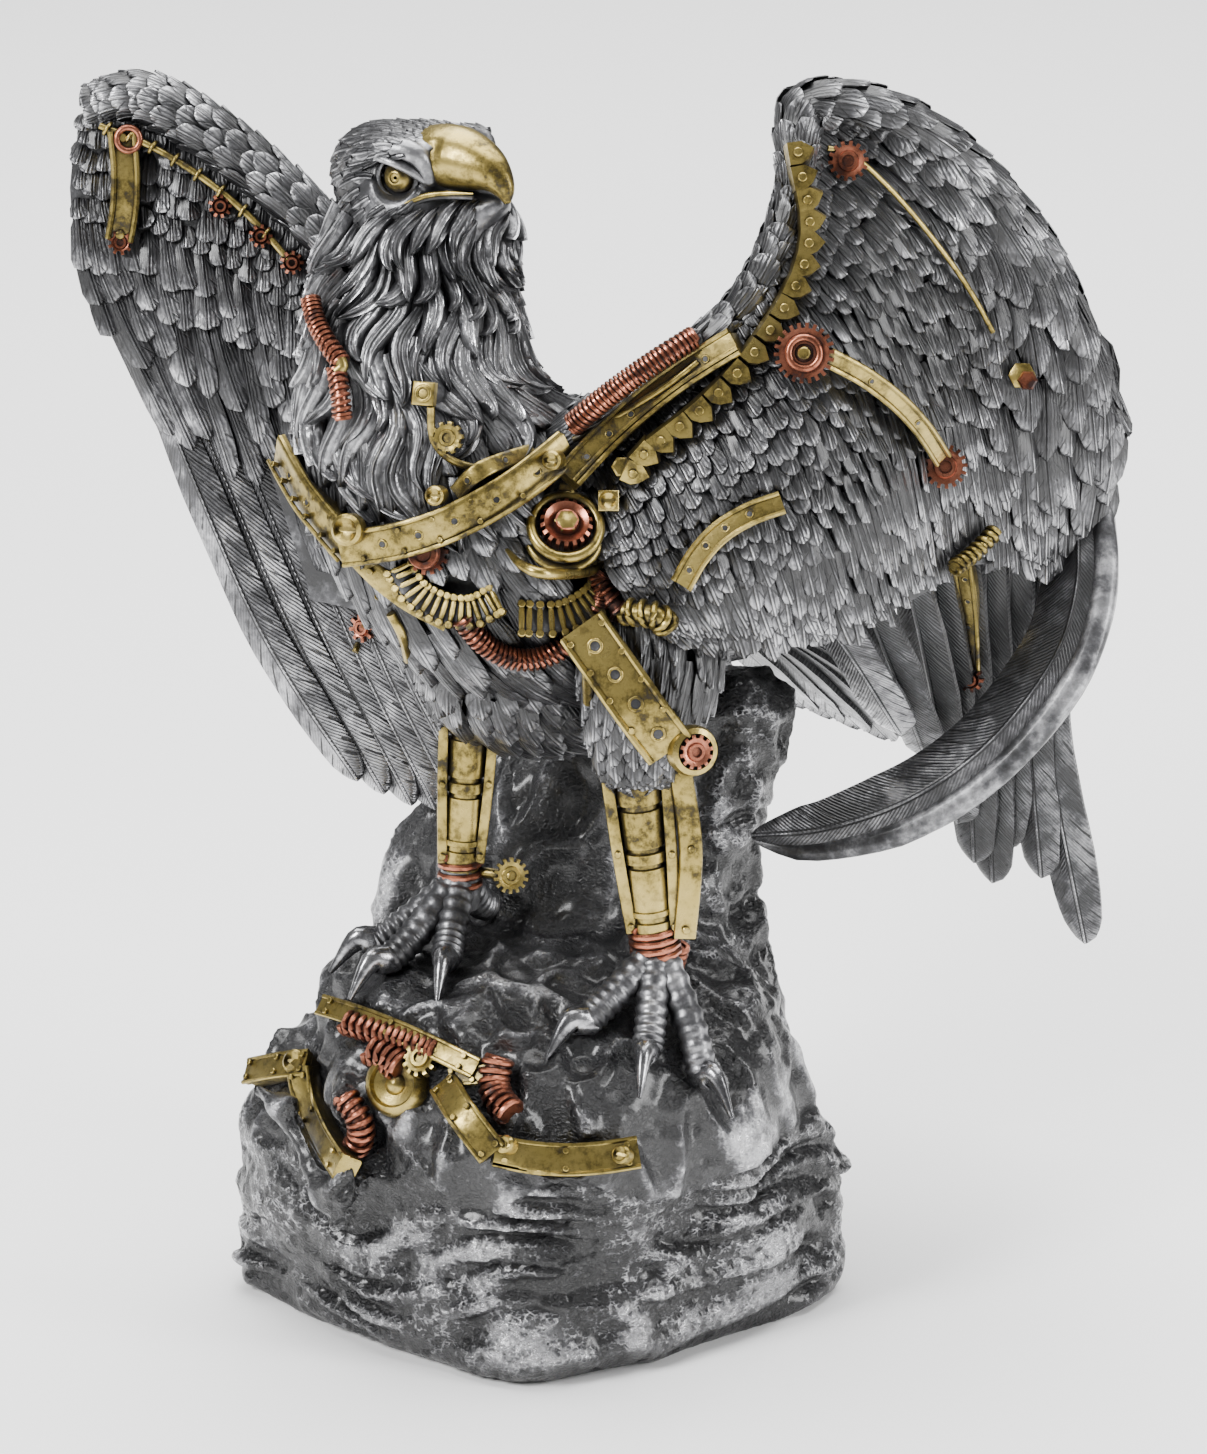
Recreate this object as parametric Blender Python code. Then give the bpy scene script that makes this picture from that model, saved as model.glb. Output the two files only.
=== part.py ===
"""Eagle figurine with clockwork fittings, standing on a rock, as two solids.

The eagle (body, wings, feathers, legs and the fittings cast with them) is one solid, and the rock that it
stands on is the other. Each is modelled as overlapping closed forms, like clay pressed together, which a
voxel remesh fuses into one skin and a decimation thins out. The eagle is then cut where it meets the rock.

Places are in millimetres at the reference size, in a frame with +Z up, the origin at the middle of the
rock's underside, and the front of the figurine towards -Y. A place is (x, y, z), and a station on a
limb or a feather is (x, y, z, half width, half thickness).
"""

import math

import bmesh
import bpy
import numpy as np
from mathutils import Vector, noise
from mathutils.bvhtree import BVHTree

# Driving dimensions, in metres.
EAGLE_HEIGHT = 0.215  # from the soles to the top of the wings
LEDGE_HEIGHT = 0.085  # from the table to the ledge under the feet
BASE_LENGTH = 0.150  # the rock's foot, left to right
BASE_DEPTH = 0.117  # the rock's foot, front to back
LEG_RADIUS = 0.0052  # the piston tube of each shin
STRAP_WIDTH = 0.0042  # the flat bars beside each piston tube
TOE_RADIUS = 0.0038
CLAW_LENGTH = 0.010
CLAW_DROP = 0.75  # how far a claw's point hooks down, as a share of its length
HARNESS_WIDTH = 0.0078  # the perforated band across the chest
HARNESS_THICKNESS = 0.0034
SPRING_RADIUS = 0.0030  # the coil along the shoulder
HOSE_RADIUS = 0.0027  # the ribbed hose under the chest works
WING_THICKNESS = 0.0040
QUILL_THICKNESS = 0.0036  # a flight feather
COVERT_THICKNESS = 0.0034  # a small feather lying on the wing
BLADE_POWER = 0.5  # a feather's section: one for an ellipse, nought for a rectangle
# A feather's half width along its length, and a lock's half width and half thickness, as shares.
BLADE_PROFILE = ((0.0, 0.55), (0.2, 0.9), (0.5, 1.0), (0.75, 0.98), (0.9, 0.78), (0.97, 0.45), (1.0, 0.16))
LOCK_PROFILE = (
    (0.0, 0.5, 0.1),
    (0.2, 0.9, 0.6),
    (0.5, 1.0, 1.0),
    (0.78, 0.85, 1.0),
    (0.93, 0.45, 0.7),
    (1.0, 0.1, 0.3),
)
SEAT_GAP = 0.0006  # the eagle is cut this far from the rock's skin

# The head keeps more of the triangles than the rest: how strongly, and within what reach of its middle.
DETAIL_WEIGHT = 0.00003
HEAD_CENTRE = (-22, -9, 275)
HEAD_REACH = 34.0

# How finely the forms are fused, in metres, and how many triangles are kept.
EAGLE_VOXEL = 0.00115
ROCK_VOXEL = 0.0015
EAGLE_TRIANGLES = 7250
ROCK_TRIANGLES = 2500

# The reference size that the places below were taken at, in millimetres.
REFERENCE_EAGLE = 215.0
REFERENCE_LEDGE = 85.0
REFERENCE_LENGTH = 150.0
REFERENCE_DEPTH = 117.0

EAGLE_SCALE = EAGLE_HEIGHT / REFERENCE_EAGLE
MM = 0.001

# The eagle's own left, across its body.
ACROSS = (0.84, -0.54, 0.0)

# Body and neck, from the rump to the crown.
SPINE = (
    (50, 50, 158, 9, 8),
    (34, 34, 166, 22, 19),
    (14, 14, 177, 32, 30),
    (-4, -2, 187, 34, 35),
    (-19, -9, 203, 32, 31),
    (-27, -8, 224, 26, 25),
    (-28, -4, 246, 22, 21),
    (-28, -2, 262, 19, 20),
    (-28.5, 0, 272, 17, 17),
    (-27, -1, 279, 14, 14),
    (-24, -2, 282, 7, 9),
)
# The flat forehead, from the crown to over the beak.
FOREHEAD = ((-30, -4, 278, 12, 7.5), (-20, -10, 280.5, 9, 6), (-12.5, -12.5, 283.5, 5, 3.6))
# The belly between the thighs, front to back.
BELLY = ((-11, -12, 170, 19, 15), (-4, 0, 156, 22, 17), (16, 16, 152, 20, 14), (34, 32, 158, 12, 10))
# Thighs, from the hip to the feathered cuff above the shin.
LEFT_THIGH = (
    (22, -4, 192, 17, 18),
    (25, -18, 178, 17, 18),
    (25, -26, 162, 15, 15),
    (23, -28, 147, 10, 10),
    (23, -28, 140, 7, 7),
)
RIGHT_THIGH = ((-20, 2, 182, 15, 16), (-19, 2, 166, 14, 15), (-17, 2, 153, 10, 10), (-17, 2, 145, 7, 7))
# Shins, from the cuff to the ankle: the tube's own line.
LEFT_SHIN = ((22, -28, 143), (27, -28, 99))
RIGHT_SHIN = ((-16, 2, 150), (-19, 0, 106))
# Toes in plan: where each leaves the foot, its knuckle, and where its claw starts.
LEFT_TOES = (
    ((25, -31), (17, -36), (11, -40)),
    ((27, -32), (26, -39), (25, -45)),
    ((30, -31), (35, -37), (38, -41)),
    ((28, -24), (29, -19), (30, -14)),
)
RIGHT_TOES = (
    ((-23, -2), (-32, -4), (-39, -5)),
    ((-23, -4), (-30, -11), (-36, -16)),
    ((-20, -5), (-21, -12), (-22, -18)),
    ((-17, 4), (-15, 8), (-13, 12)),
)
# Beak, from the cere to the hooked tip, and the lower jaw.
BEAK = (
    (-24, -7, 279, 8.5, 8),
    (-17, -13.5, 279.5, 7.2, 8),
    (-11, -19, 279, 5.6, 6.8),
    (-7, -22.5, 275, 4, 5),
    (-5.5, -23.5, 270, 2, 2.4),
)
JAW = ((-25, -7, 268, 8, 4.5), (-17, -14, 269, 6, 3.8), (-11, -19, 270.5, 3.6, 2.6))
# The ridges over the eyes, one each side of the head's own line of sight.
BROWS = (
    (
        (-41, -9, 278, 2.4, 2.4),
        (-36, -14, 281, 3.4, 3.2),
        (-28, -15.5, 284, 3.6, 3),
        (-20, -13, 285.5, 3, 2.4),
    ),
    ((-14, 6, 277, 2.4, 2.4), (-12, 0, 280, 3.2, 3), (-11.5, -7, 283, 2.6, 2.4)),
)
EYES = (((-32, -14, 276.5), (-0.25, -0.95, 0.1)), ((-13, 2, 276.5), (0.95, 0.3, 0.1)))
EYE_RADIUS = 4.2
# Wings as grids of places: a row for each step along the leading edge, running down to the trailing edge.
LEFT_WING = (
    ((4, -22, 216), (12, -33, 202), (20, -37, 189), (30, -38, 177)),
    ((24, -25, 231), (36, -36, 215), (44, -39, 196), (50, -34, 176)),
    ((46, -25, 250), (59, -32, 228), (65, -32, 203), (71, -26, 176)),
    ((57, -19, 273), (72, -16, 251), (80, -14, 216), (86, -8, 177)),
    ((61, -6, 291), (83, -2, 262), (94, 3, 223), (99, 8, 180)),
    ((88, 5, 283), (105, 10, 250), (109, 13, 215), (112, 18, 178)),
    ((116, 17, 254), (125, 22, 228), (125, 24, 202), (123, 27, 176)),
    ((137, 29, 207), (136, 31, 198), (133, 32, 188), (127, 33, 179)),
)
RIGHT_WING = (
    ((-36, 26, 234), (-34, 25, 212), (-32, 25, 188), (-28, 26, 160)),
    ((-50, 36, 253), (-50, 34, 231), (-47, 31, 204), (-37, 28, 162)),
    ((-71, 43, 271), (-70, 40, 245), (-64, 36, 213), (-49, 31, 164)),
    ((-92, 47, 283), (-92, 44, 255), (-85, 40, 224), (-61, 34, 166)),
    ((-107, 49, 281), (-111, 47, 258), (-102, 44, 227), (-72, 37, 170)),
)
# Radius of the feathered arm along each leading edge, in millimetres, from the shoulder outwards.
LEFT_ARM = (9, 6.5, 5.5, 5.5, 7.5, 7, 5.5, 4)
RIGHT_ARM = (8, 8, 8.5, 8.5, 6.5)
# Flight feathers: root, middle and tip, with the half width at the middle.
LEFT_QUILLS = (
    ((56, -16, 188), (72, -1, 163), (86, 16, 137), 8.5),
    ((80, -4, 188), (90, 14, 152), (98, 32, 120), 8.5),
    ((92, 8, 190), (99, 26, 146), (103, 40, 104), 8.5),
    ((104, 16, 195), (107, 34, 142), (111, 45, 88), 8.5),
    ((115, 22, 200), (115, 36, 146), (117, 44, 98), 7),
    ((123, 28, 205), (122, 38, 140), (135, 43, 73), 7.5),
)
RIGHT_QUILLS = (
    ((-88, 38, 208), (-67, 31, 158), (-44, 27, 121), 6.4),
    ((-77, 37, 204), (-57, 32, 156), (-36, 28, 116.5), 6.4),
    ((-67, 36, 202), (-48, 32, 154), (-28, 28, 113.5), 6.4),
    ((-57, 35, 200), (-40, 31, 152), (-22, 29, 114), 6),
    ((-48, 34, 196), (-33, 30, 150), (-17, 29, 119), 6),
)
# Which way the flat side of the flight feathers faces.
LEFT_QUILL_FACING = (-0.15, -0.95, 0.2)
RIGHT_QUILL_FACING = (-0.2, -0.97, 0.1)
# The long feather that curls round to rest on the rock.
CURLED_QUILL = (
    (129, 24, 200, 5, 2),
    (128.5, 19, 178, 8, 2.2),
    (121.5, 12, 155, 9.5, 2.4),
    (106.5, 8, 136, 9.5, 2.6),
    (88, 8, 122, 9, 2.6),
    (68, 10, 114, 7, 2.4),
    (51, 14, 111, 3.5, 2.2),
)
CURLED_FACING = (-0.45, -0.75, 0.5)
# Tail feathers fan out from the rump.
TAIL_ROOT = (42, 42, 162)
TAIL_TIP = (87, 74, 116)
TAIL_FEATHERS = 6
TAIL_SPREAD = 46.0  # between the outer tips, in millimetres
TAIL_HALF_WIDTH = 7.5
# Rings of neck locks: where along the spine each ring starts and ends, and how far its tips stand off.
NECK_RINGS = ((0.79, 0.62, 0.3), (0.7, 0.53, 0.7), (0.61, 0.43, 1.0))
NECK_LOCKS = 13  # in each ring
FACE = (0.35, -0.93, 0.0)  # the way the face looks: no lock of the top ring hangs over it
FACE_CLEAR = 0.4  # the cosine of the angle each side of the face that is left clear
LOCK_FILL = 0.88  # the share of the way round the neck that the locks of a ring fill
LOCK_HALF_THICKNESS = 3.6
LOCK_SWAY = 0.12  # how far a lock winds from side to side, in radians about the neck
# Rows of coverts on both faces of a wing: how far down the wing a row starts and ends, and how many
# feathers it has.
LEFT_ROWS = ((0.0, 0.3, 12), (0.22, 0.55, 11), (0.45, 0.8, 10), (0.68, 1.06, 10))
RIGHT_ROWS = ((0.0, 0.2, 8), (0.12, 0.36, 7), (0.3, 0.58, 6))
SCALLOP = 0.07  # how deep the notches between the feathers of a row are, as a share of the wing's depth
STEPS_PER_COVERT = 8  # across each feather of a row
STEPS_DOWN_ROW = 6

# Clockwork fittings.
HARNESS = (
    (-57, -10, 208),
    (-50, -27, 204),
    (-40, -38.5, 200),
    (-20, -43, 206),
    (-4, -41, 213),
    (8, -35, 220),
)
HOSE = ((-15, -45, 178), (-9, -46, 170), (-2, -46, 168), (6, -45, 171), (11, -43, 178))
SHOULDER_SPRING = ((6, -30, 226), (20, -31, 234), (32, -30, 243))
CHEST_HUB = (1, -44, 192)
CHEST_HUB_RADIUS = 7.0
WHEEL_THICKNESS = 6.0  # of the hub on the chest and the gear on the wing
CAP_THICKNESS = 5.0
THIGH_PLATE = ((12, -40, 178), (20, -44, 168), (29, -44, 156), (34, -42, 151))
THIGH_PLATE_HALF_WIDTH = 6.0
THIGH_CAP = (36, -42, 153)
THIGH_CAP_RADIUS = 5.0
WING_GEAR = (61, -35, 240)
WING_GEAR_RADIUS = 6.5
WING_BLADE = ((66, -33, 239), (78, -24, 228), (88, -17, 213))
COIL_RADIUS = 5.6  # the wire coil at each ankle
ANKLE_RISE = 6.0

# Rock: rings of (x, y, z, half length, half depth) for each boulder, from the bottom up.
FOOT_RINGS = (
    (0, 0, 0, 68, 53),
    (0, 0, 5, 72, 57),
    (0, 0, 11, 74, 58.5),
    (0, 0, 13, 72.5, 56),
    (0, 0, 16, 73, 57),
    (0, 0, 22, 74, 59),
    (0, 0, 24, 71.5, 56.5),
    (0, 0, 32, 73, 58),
    (0, 0, 35, 70.5, 55),
    (0, 0, 41, 69, 55),
    (1, 0, 44, 65, 51),
    (0, 0, 54, 62, 49),
)
MOUND_RINGS = (
    (2, -3, 34, 66, 53),
    (3, -4, 50, 63, 55),
    (4, -4, 60, 60, 54),
    (3, -4, 69, 58, 52.5),
    (1, -4, 77, 56, 48),
    (-1, -2, 83, 52, 41),
    (-2, 3, 88, 44, 33),
    (-2, 8, 91, 33, 22),
)
COLUMN_RINGS = (
    (8, 26, 40, 54, 34),
    (7, 31, 70, 52, 28),
    (6, 34, 88, 50, 25),
    (9, 36, 106, 47, 22),
    (20, 38, 124, 41, 20),
    (33, 40, 138, 31, 17),
    (37, 41, 146, 20, 12),
)
BOULDER_RINGS = (
    (-51, 2, 26, 23, 30),
    (-53, 0, 44, 20, 27),
    (-52, 0, 58, 17, 22),
    (-51, 2, 68, 12, 15),
)
ROCK_SQUARENESS = 0.62  # a half for ellipses seen from above, and one for diamonds
FOOT_SQUARENESS = 0.7
ROCK_ROUGHNESS = 0.05  # how far the rings wander, as a share of their radius
ROCK_LUMP = 21.0  # the size of those lumps, in millimetres
STRATA_WAVE = 2.8  # how far a layer of the stone rises and falls, in millimetres
STRATA_START = 12.0  # below this height the layers flatten out towards the table
# Plates and wheels let into the front of the rock.
ROCK_BAR = ((-17, -55, 70), (-8, -60, 60), (8, -61, 57), (24, -57, 59))
ROCK_PLATE = ((-66, -19, 60), (-60, -27, 60), (-52, -38, 48), (-46, -45, 36))
ROCK_PLATE_HALF_WIDTH = 4.5
ROCK_WHEELS = (((-42, -36, 64), 8.0), ((-46, -44, 47), 6.0), ((-9, -55, 66), 6.5))


def clear_scene():
    """Removes every object, so that the script can run in any file."""
    for thing in list(bpy.data.objects):
        bpy.data.objects.remove(thing, do_unlink=True)


def eagle_place(place):
    """A reference place on the eagle, in metres: it scales about the ledge that the eagle stands on."""
    x, y, z = place[:3]
    return Vector((x * EAGLE_SCALE, y * EAGLE_SCALE, LEDGE_HEIGHT + (z - REFERENCE_LEDGE) * EAGLE_SCALE))


def eagle_stations(stations):
    """Stations on the eagle in metres, as (place, half width, half thickness)."""
    return [(eagle_place(s), s[3] * EAGLE_SCALE, s[4] * EAGLE_SCALE) for s in stations]


def spline(points, share):
    """A smooth curve through all the points, read at a share from 0 to 1 of its length in steps."""
    points = np.asarray(points, float)
    last = len(points) - 1
    at = min(max(share, 0.0), 1.0) * last
    i = min(int(at), last - 1)
    t = at - i
    before, a, b, after = points[max(i - 1, 0)], points[i], points[i + 1], points[min(i + 2, last)]
    return 0.5 * (
        2 * a
        + (b - before) * t
        + (2 * before - 5 * a + 4 * b - after) * t**2
        + (3 * a - before - 3 * b + after) * t**3
    )


def smooth_stations(stations, steps):
    """Stations read at even steps along the smooth curve through them."""
    rows = [[*s[0], s[1], s[2]] for s in stations]
    found = [spline(rows, i / steps) for i in range(steps + 1)]
    return [(Vector(r[:3]), max(r[3], 0.0004), max(r[4], 0.0004)) for r in found]


class Clay:
    """Closed forms that overlap, to be fused into one skin."""

    def __init__(self):
        self.points = []
        self.faces = []

    def add(self, points, faces):
        start = len(self.points)
        self.points += [tuple(p) for p in points]
        self.faces += [[start + i for i in face] for face in faces]

    def tube(self, stations, across, sides=14, power=1.0):
        """A limb of elliptical section. Its width lies along across as nearly as its line allows."""
        turns = [2 * math.pi * (k + 0.5) / sides for k in range(sides)]
        rings = []
        across = Vector(across)
        for i, (place, half_width, half_thickness) in enumerate(stations):
            ahead = stations[min(i + 1, len(stations) - 1)][0] - stations[max(i - 1, 0)][0]
            ahead.normalize()
            side = (across - ahead * across.dot(ahead)).normalized()
            out = ahead.cross(side)
            rings.append(
                [
                    place
                    + side * (half_width * blunted(math.cos(turn), power))
                    + out * (half_thickness * blunted(math.sin(turn), power))
                    for turn in turns
                ]
            )
        self.skin(rings)

    def skin(self, rings):
        """Closes a stack of equal rings with sides and flat ends."""
        sides = len(rings[0])
        points = [p for ring in rings for p in ring]
        faces = [list(range(sides))[::-1], [len(points) - sides + k for k in range(sides)]]
        for i in range(len(rings) - 1):
            for k in range(sides):
                low, high = i * sides, (i + 1) * sides
                faces.append([low + k, low + (k + 1) % sides, high + (k + 1) % sides, high + k])
        self.add(points, faces)

    def blade(self, line, half_width, half_thickness, facing):
        """A feather along a line of places: rounded at the tip, with its flat side towards facing."""
        stations = []
        for share, wide in BLADE_PROFILE:
            thin = 1.0 - 0.35 * share
            stations.append((Vector(spline(line, share)), half_width * wide, half_thickness * thin))
        ahead = stations[-1][0] - stations[0][0]
        self.tube(stations, ahead.cross(Vector(facing)), sides=12, power=BLADE_POWER)

    def lock(self, line, half_width, half_thickness, facing):
        """A long lock of feathers: it rises out of what lies above it and ends in a point."""
        stations = []
        for share, wide, thick in LOCK_PROFILE:
            stations.append((Vector(spline(line, share)), half_width * wide, half_thickness * thick))
        ahead = stations[-1][0] - stations[0][0]
        self.tube(stations, ahead.cross(Vector(facing)), sides=10)

    def disc(self, centre, facing, radius, thickness, sides=16):
        """A short round boss with its axis along facing."""
        facing = Vector(facing).normalized()
        half = facing * (thickness / 2)
        ends = [(centre - half, radius, radius), (centre + half, radius, radius)]
        self.tube(ends, facing.orthogonal(), sides)

    def sheet(self, wing, thickness, steps=(26, 14)):
        """A wing's web: its two faces lie half the thickness each side of the grid's surface."""
        self.slab(wing, lambda u: (0.0, 1.0), lambda u, share: thickness / 2, steps)

    def shingles(self, wing, start, end, count):
        """A row of feathers on both faces of a wing, from start to end down it, with a scalloped edge."""
        count = round(count)

        def dome(u):
            return abs(math.sin(math.pi * count * u))

        def reach(u):
            return start, end - SCALLOP * (1.0 - dome(u) ** 0.6)

        def half(u, share):
            swell = (0.1 + 0.9 * share) * (0.4 + 0.6 * dome(u) ** 0.5)
            return WING_THICKNESS / 2 + COVERT_THICKNESS * swell

        self.slab(wing, reach, half, (count * STEPS_PER_COVERT, STEPS_DOWN_ROW))

    def slab(self, wing, reach, half, steps):
        """A closed plate on a wing's surface: reach gives its two ends, and half its half thickness."""
        count_u, count_v = steps
        rings = []
        for i in range(count_u + 1):
            u = i / count_u
            low, high = reach(u)
            front, back = [], []
            for j in range(count_v + 1):
                share = j / count_v
                v = low + (high - low) * share
                out = wing.normal(u, v) * half(u, share)
                front.append(wing.place(u, v) + out)
                back.append(wing.place(u, v) - out)
            rings.append(front + back[::-1])
        self.skin(rings)

    def fuse(self, name, voxel, triangles, material, keen=None):
        """One object whose skin is the outside of all the forms, thinned to about the given triangles.

        keen is a place and a radius within which more of the triangles are kept.
        """
        mesh = bpy.data.meshes.new(name)
        mesh.from_pydata(self.points, [], self.faces)
        shape = bmesh.new()
        shape.from_mesh(mesh)
        bmesh.ops.recalc_face_normals(shape, faces=shape.faces)
        shape.to_mesh(mesh)
        shape.free()
        whole = bpy.data.objects.new(name, mesh)
        bpy.context.scene.collection.objects.link(whole)
        mesh.materials.append(material)
        remesh = whole.modifiers.new("fuse", "REMESH")
        remesh.mode = "VOXEL"
        remesh.voxel_size = voxel
        smooth = whole.modifiers.new("soften", "SMOOTH")
        smooth.factor = 0.4
        smooth.iterations = 1
        apply_modifiers(whole)
        thin = whole.modifiers.new("thin", "DECIMATE")
        thin.ratio = min(1.0, triangles / (2 * len(whole.data.polygons)))
        if keen:
            thin.vertex_group = detail_group(whole, *keen)
            thin.vertex_group_factor = DETAIL_WEIGHT
        thin.use_collapse_triangulate = True
        apply_modifiers(whole)
        keep_largest(whole)
        return whole


class Wing:
    """The smooth surface through a grid of places."""

    def __init__(self, grid):
        self.grid = np.array([[eagle_place(p) for p in row] for row in grid], float)

    def place(self, u, v):
        row = spline(self.grid, u)
        return Vector(spline(row, v))

    def normal(self, u, v):
        """Points to the front of the figurine."""
        step = 0.02
        along = self.place(min(u + step, 1), v) - self.place(max(u - step, 0), v)
        down = self.place(u, min(v + step, 1)) - self.place(u, max(v - step, 0))
        normal = along.cross(down).normalized()
        return normal if normal.y < 0 else -normal


def detail_group(thing, centre, radius):
    """A vertex group that is full outside a ball and empty within it, so that less is thinned there."""
    group = thing.vertex_groups.new(name="thin_here")
    for vertex in thing.data.vertices:
        away = (vertex.co - centre).length / radius
        group.add([vertex.index], min(max(away - 0.5, 0.0) * 2.0, 1.0), "REPLACE")
    return group.name


def apply_modifiers(thing):
    """Makes the object's mesh what its modifiers show."""
    graph = bpy.context.evaluated_depsgraph_get()
    made = bpy.data.meshes.new_from_object(thing.evaluated_get(graph), depsgraph=graph)
    thing.modifiers.clear()
    thing.data = made


def islands(shape):
    """The connected groups of faces of a bmesh, largest first."""
    left = set(shape.faces)
    found = []
    while left:
        start = left.pop()
        group, edge = {start}, [start]
        while edge:
            for side in edge.pop().edges:
                for face in side.link_faces:
                    if face in left:
                        left.remove(face)
                        group.add(face)
                        edge.append(face)
        found.append(group)
    return sorted(found, key=len, reverse=True)


def keep_largest(thing):
    """Drops crumbs that a cut or the remesh has left beside the main body."""
    shape = bmesh.new()
    shape.from_mesh(thing.data)
    for crumb in islands(shape)[1:]:
        bmesh.ops.delete(shape, geom=list(crumb), context="FACES")
    shape.to_mesh(thing.data)
    shape.free()
    thing.data.update()


def finish_of(name, colour, roughness, metallic):
    material = bpy.data.materials.new(name)
    material.use_nodes = True
    shader = material.node_tree.nodes["Principled BSDF"]
    shader.inputs["Base Color"].default_value = (*colour, 1.0)
    shader.inputs["Roughness"].default_value = roughness
    shader.inputs["Metallic"].default_value = metallic
    return material


def blunted(value, power):
    """The value raised to a power that keeps its sign: it squares up or sharpens a round section."""
    return math.copysign(abs(value) ** power, value)


def rough_ring(ring, place, seed, square, sides=36):
    """A ring of a boulder, whose radius wanders with the lumps of the stone."""
    x, y, z, half_length, half_depth = ring
    points = []
    for k in range(sides):
        turn = 2 * math.pi * k / sides
        flat = Vector(
            (
                half_length * blunted(math.cos(turn), 2 * square),
                half_depth * blunted(math.sin(turn), 2 * square),
                z,
            )
        )
        wander = 1.0 + ROCK_ROUGHNESS * 2.0 * noise.noise(flat / ROCK_LUMP + Vector((seed, seed, 0.0)))
        layer = Vector((flat.x, flat.y, 0.0))
        wave = STRATA_WAVE * min(z / STRATA_START, 1.0) * noise.noise(layer / ROCK_LUMP)
        points.append(place((x + flat.x * wander, y + flat.y * wander, z + wave)))
    return points


def foot_place(place):
    """A reference place on the rock's foot, which follows the foot's own length, depth and height."""
    x, y, z = place
    return Vector(
        (
            x * BASE_LENGTH / REFERENCE_LENGTH,
            y * BASE_DEPTH / REFERENCE_DEPTH,
            z * LEDGE_HEIGHT / REFERENCE_LEDGE,
        )
    )


def mound_place(place):
    """A reference place on the rock under the eagle: it follows the foot low down, and the eagle above."""
    share = min(max((place[2] - 30.0) / 35.0, 0.0), 1.0)
    return foot_place(place).lerp(eagle_place(place), share)


def build_rock(material):
    """Foot, mound, column and boulder, with the plates and wheels let into the front."""
    clay = Clay()
    for seed, (rings, place, square) in enumerate(
        (
            (FOOT_RINGS, foot_place, FOOT_SQUARENESS),
            (MOUND_RINGS, mound_place, ROCK_SQUARENESS),
            (COLUMN_RINGS, mound_place, ROCK_SQUARENESS),
            (BOULDER_RINGS, mound_place, ROCK_SQUARENESS),
        )
    ):
        clay.skin([rough_ring(ring, place, 3.7 * seed, square) for ring in rings])
    bar = [(mound_place(p), 3.2 * MM, 3.6 * MM) for p in ROCK_BAR]
    clay.tube(smooth_stations(bar, 8), (0, 0, 1), sides=8)
    plate = [(mound_place(p), ROCK_PLATE_HALF_WIDTH * MM, 2.4 * MM) for p in ROCK_PLATE]
    clay.tube(smooth_stations(plate, 8), (0.8, -0.6, 0), sides=8)
    for centre, radius in ROCK_WHEELS:
        clay.disc(mound_place(centre), (-0.35, -0.8, 0.4), radius * MM, 5 * MM)
    rock = clay.fuse("rock_base", ROCK_VOXEL, ROCK_TRIANGLES, material)
    flatten_underside(rock)
    return rock


def flatten_underside(rock):
    """Planes the rock's underside off just above the table and brings it down to it."""
    shape = bmesh.new()
    shape.from_mesh(rock.data)
    level = min(v.co.z for v in shape.verts) + ROCK_VOXEL
    cut = bmesh.ops.bisect_plane(
        shape,
        geom=[*shape.verts, *shape.edges, *shape.faces],
        plane_co=(0, 0, level),
        plane_no=(0, 0, -1),
        clear_outer=True,
    )
    rim = [e for e in cut["geom_cut"] if isinstance(e, bmesh.types.BMEdge)]
    bmesh.ops.contextual_create(shape, geom=rim)
    bmesh.ops.translate(shape, verts=shape.verts, vec=(0, 0, -level))
    bmesh.ops.triangulate(shape, faces=shape.faces)
    bmesh.ops.recalc_face_normals(shape, faces=shape.faces)
    shape.to_mesh(rock.data)
    shape.free()


def surface_below(tree, place):
    """Height of the rock's skin under a place."""
    above = Vector((place[0], place[1], EAGLE_HEIGHT + LEDGE_HEIGHT))
    return tree.ray_cast(above, Vector((0, 0, -1)))[0].z


def build_body(clay):
    clay.tube(smooth_stations(eagle_stations(SPINE), 30), ACROSS, sides=28)
    for limb in (BELLY, LEFT_THIGH, RIGHT_THIGH):
        clay.tube(smooth_stations(eagle_stations(limb), 10), ACROSS, sides=18)


def build_neck_locks(clay):
    """Long locks that hang round the neck, longer in front, so that the outline is ragged."""
    rows = [[*place, wide, thick] for place, wide, thick in eagle_stations(SPINE)]
    side = Vector(ACROSS)
    for ring, (start, end, lift) in enumerate(NECK_RINGS):
        for k in range(NECK_LOCKS):
            turn = 2 * math.pi * (k + 0.5 * ring) / NECK_LOCKS
            line = []
            for step in range(5):
                at = start + (end - start) * step / 4
                row = spline(rows, at)
                ahead = Vector(spline(rows, at + 0.01)[:3] - spline(rows, at - 0.01)[:3]).normalized()
                wide = (side - ahead * side.dot(ahead)).normalized()
                out = ahead.cross(wide)
                sway = turn + LOCK_SWAY * math.sin(1.6 * step + k)
                away = wide * (math.cos(sway) * row[3]) + out * (math.sin(sway) * row[4])
                raise_by = 1.0 + (0.02 + 0.025 * step) * lift
                line.append(Vector(row[:3]) + away * raise_by)
            facing = line[-1] - Vector(spline(rows, end)[:3])
            if ring == 0 and facing.normalized().dot(Vector(FACE)) > FACE_CLEAR:
                continue
            half_width = LOCK_FILL * math.pi * row[3] / NECK_LOCKS
            clay.lock(line, half_width, LOCK_HALF_THICKNESS * EAGLE_SCALE, facing)


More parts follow.
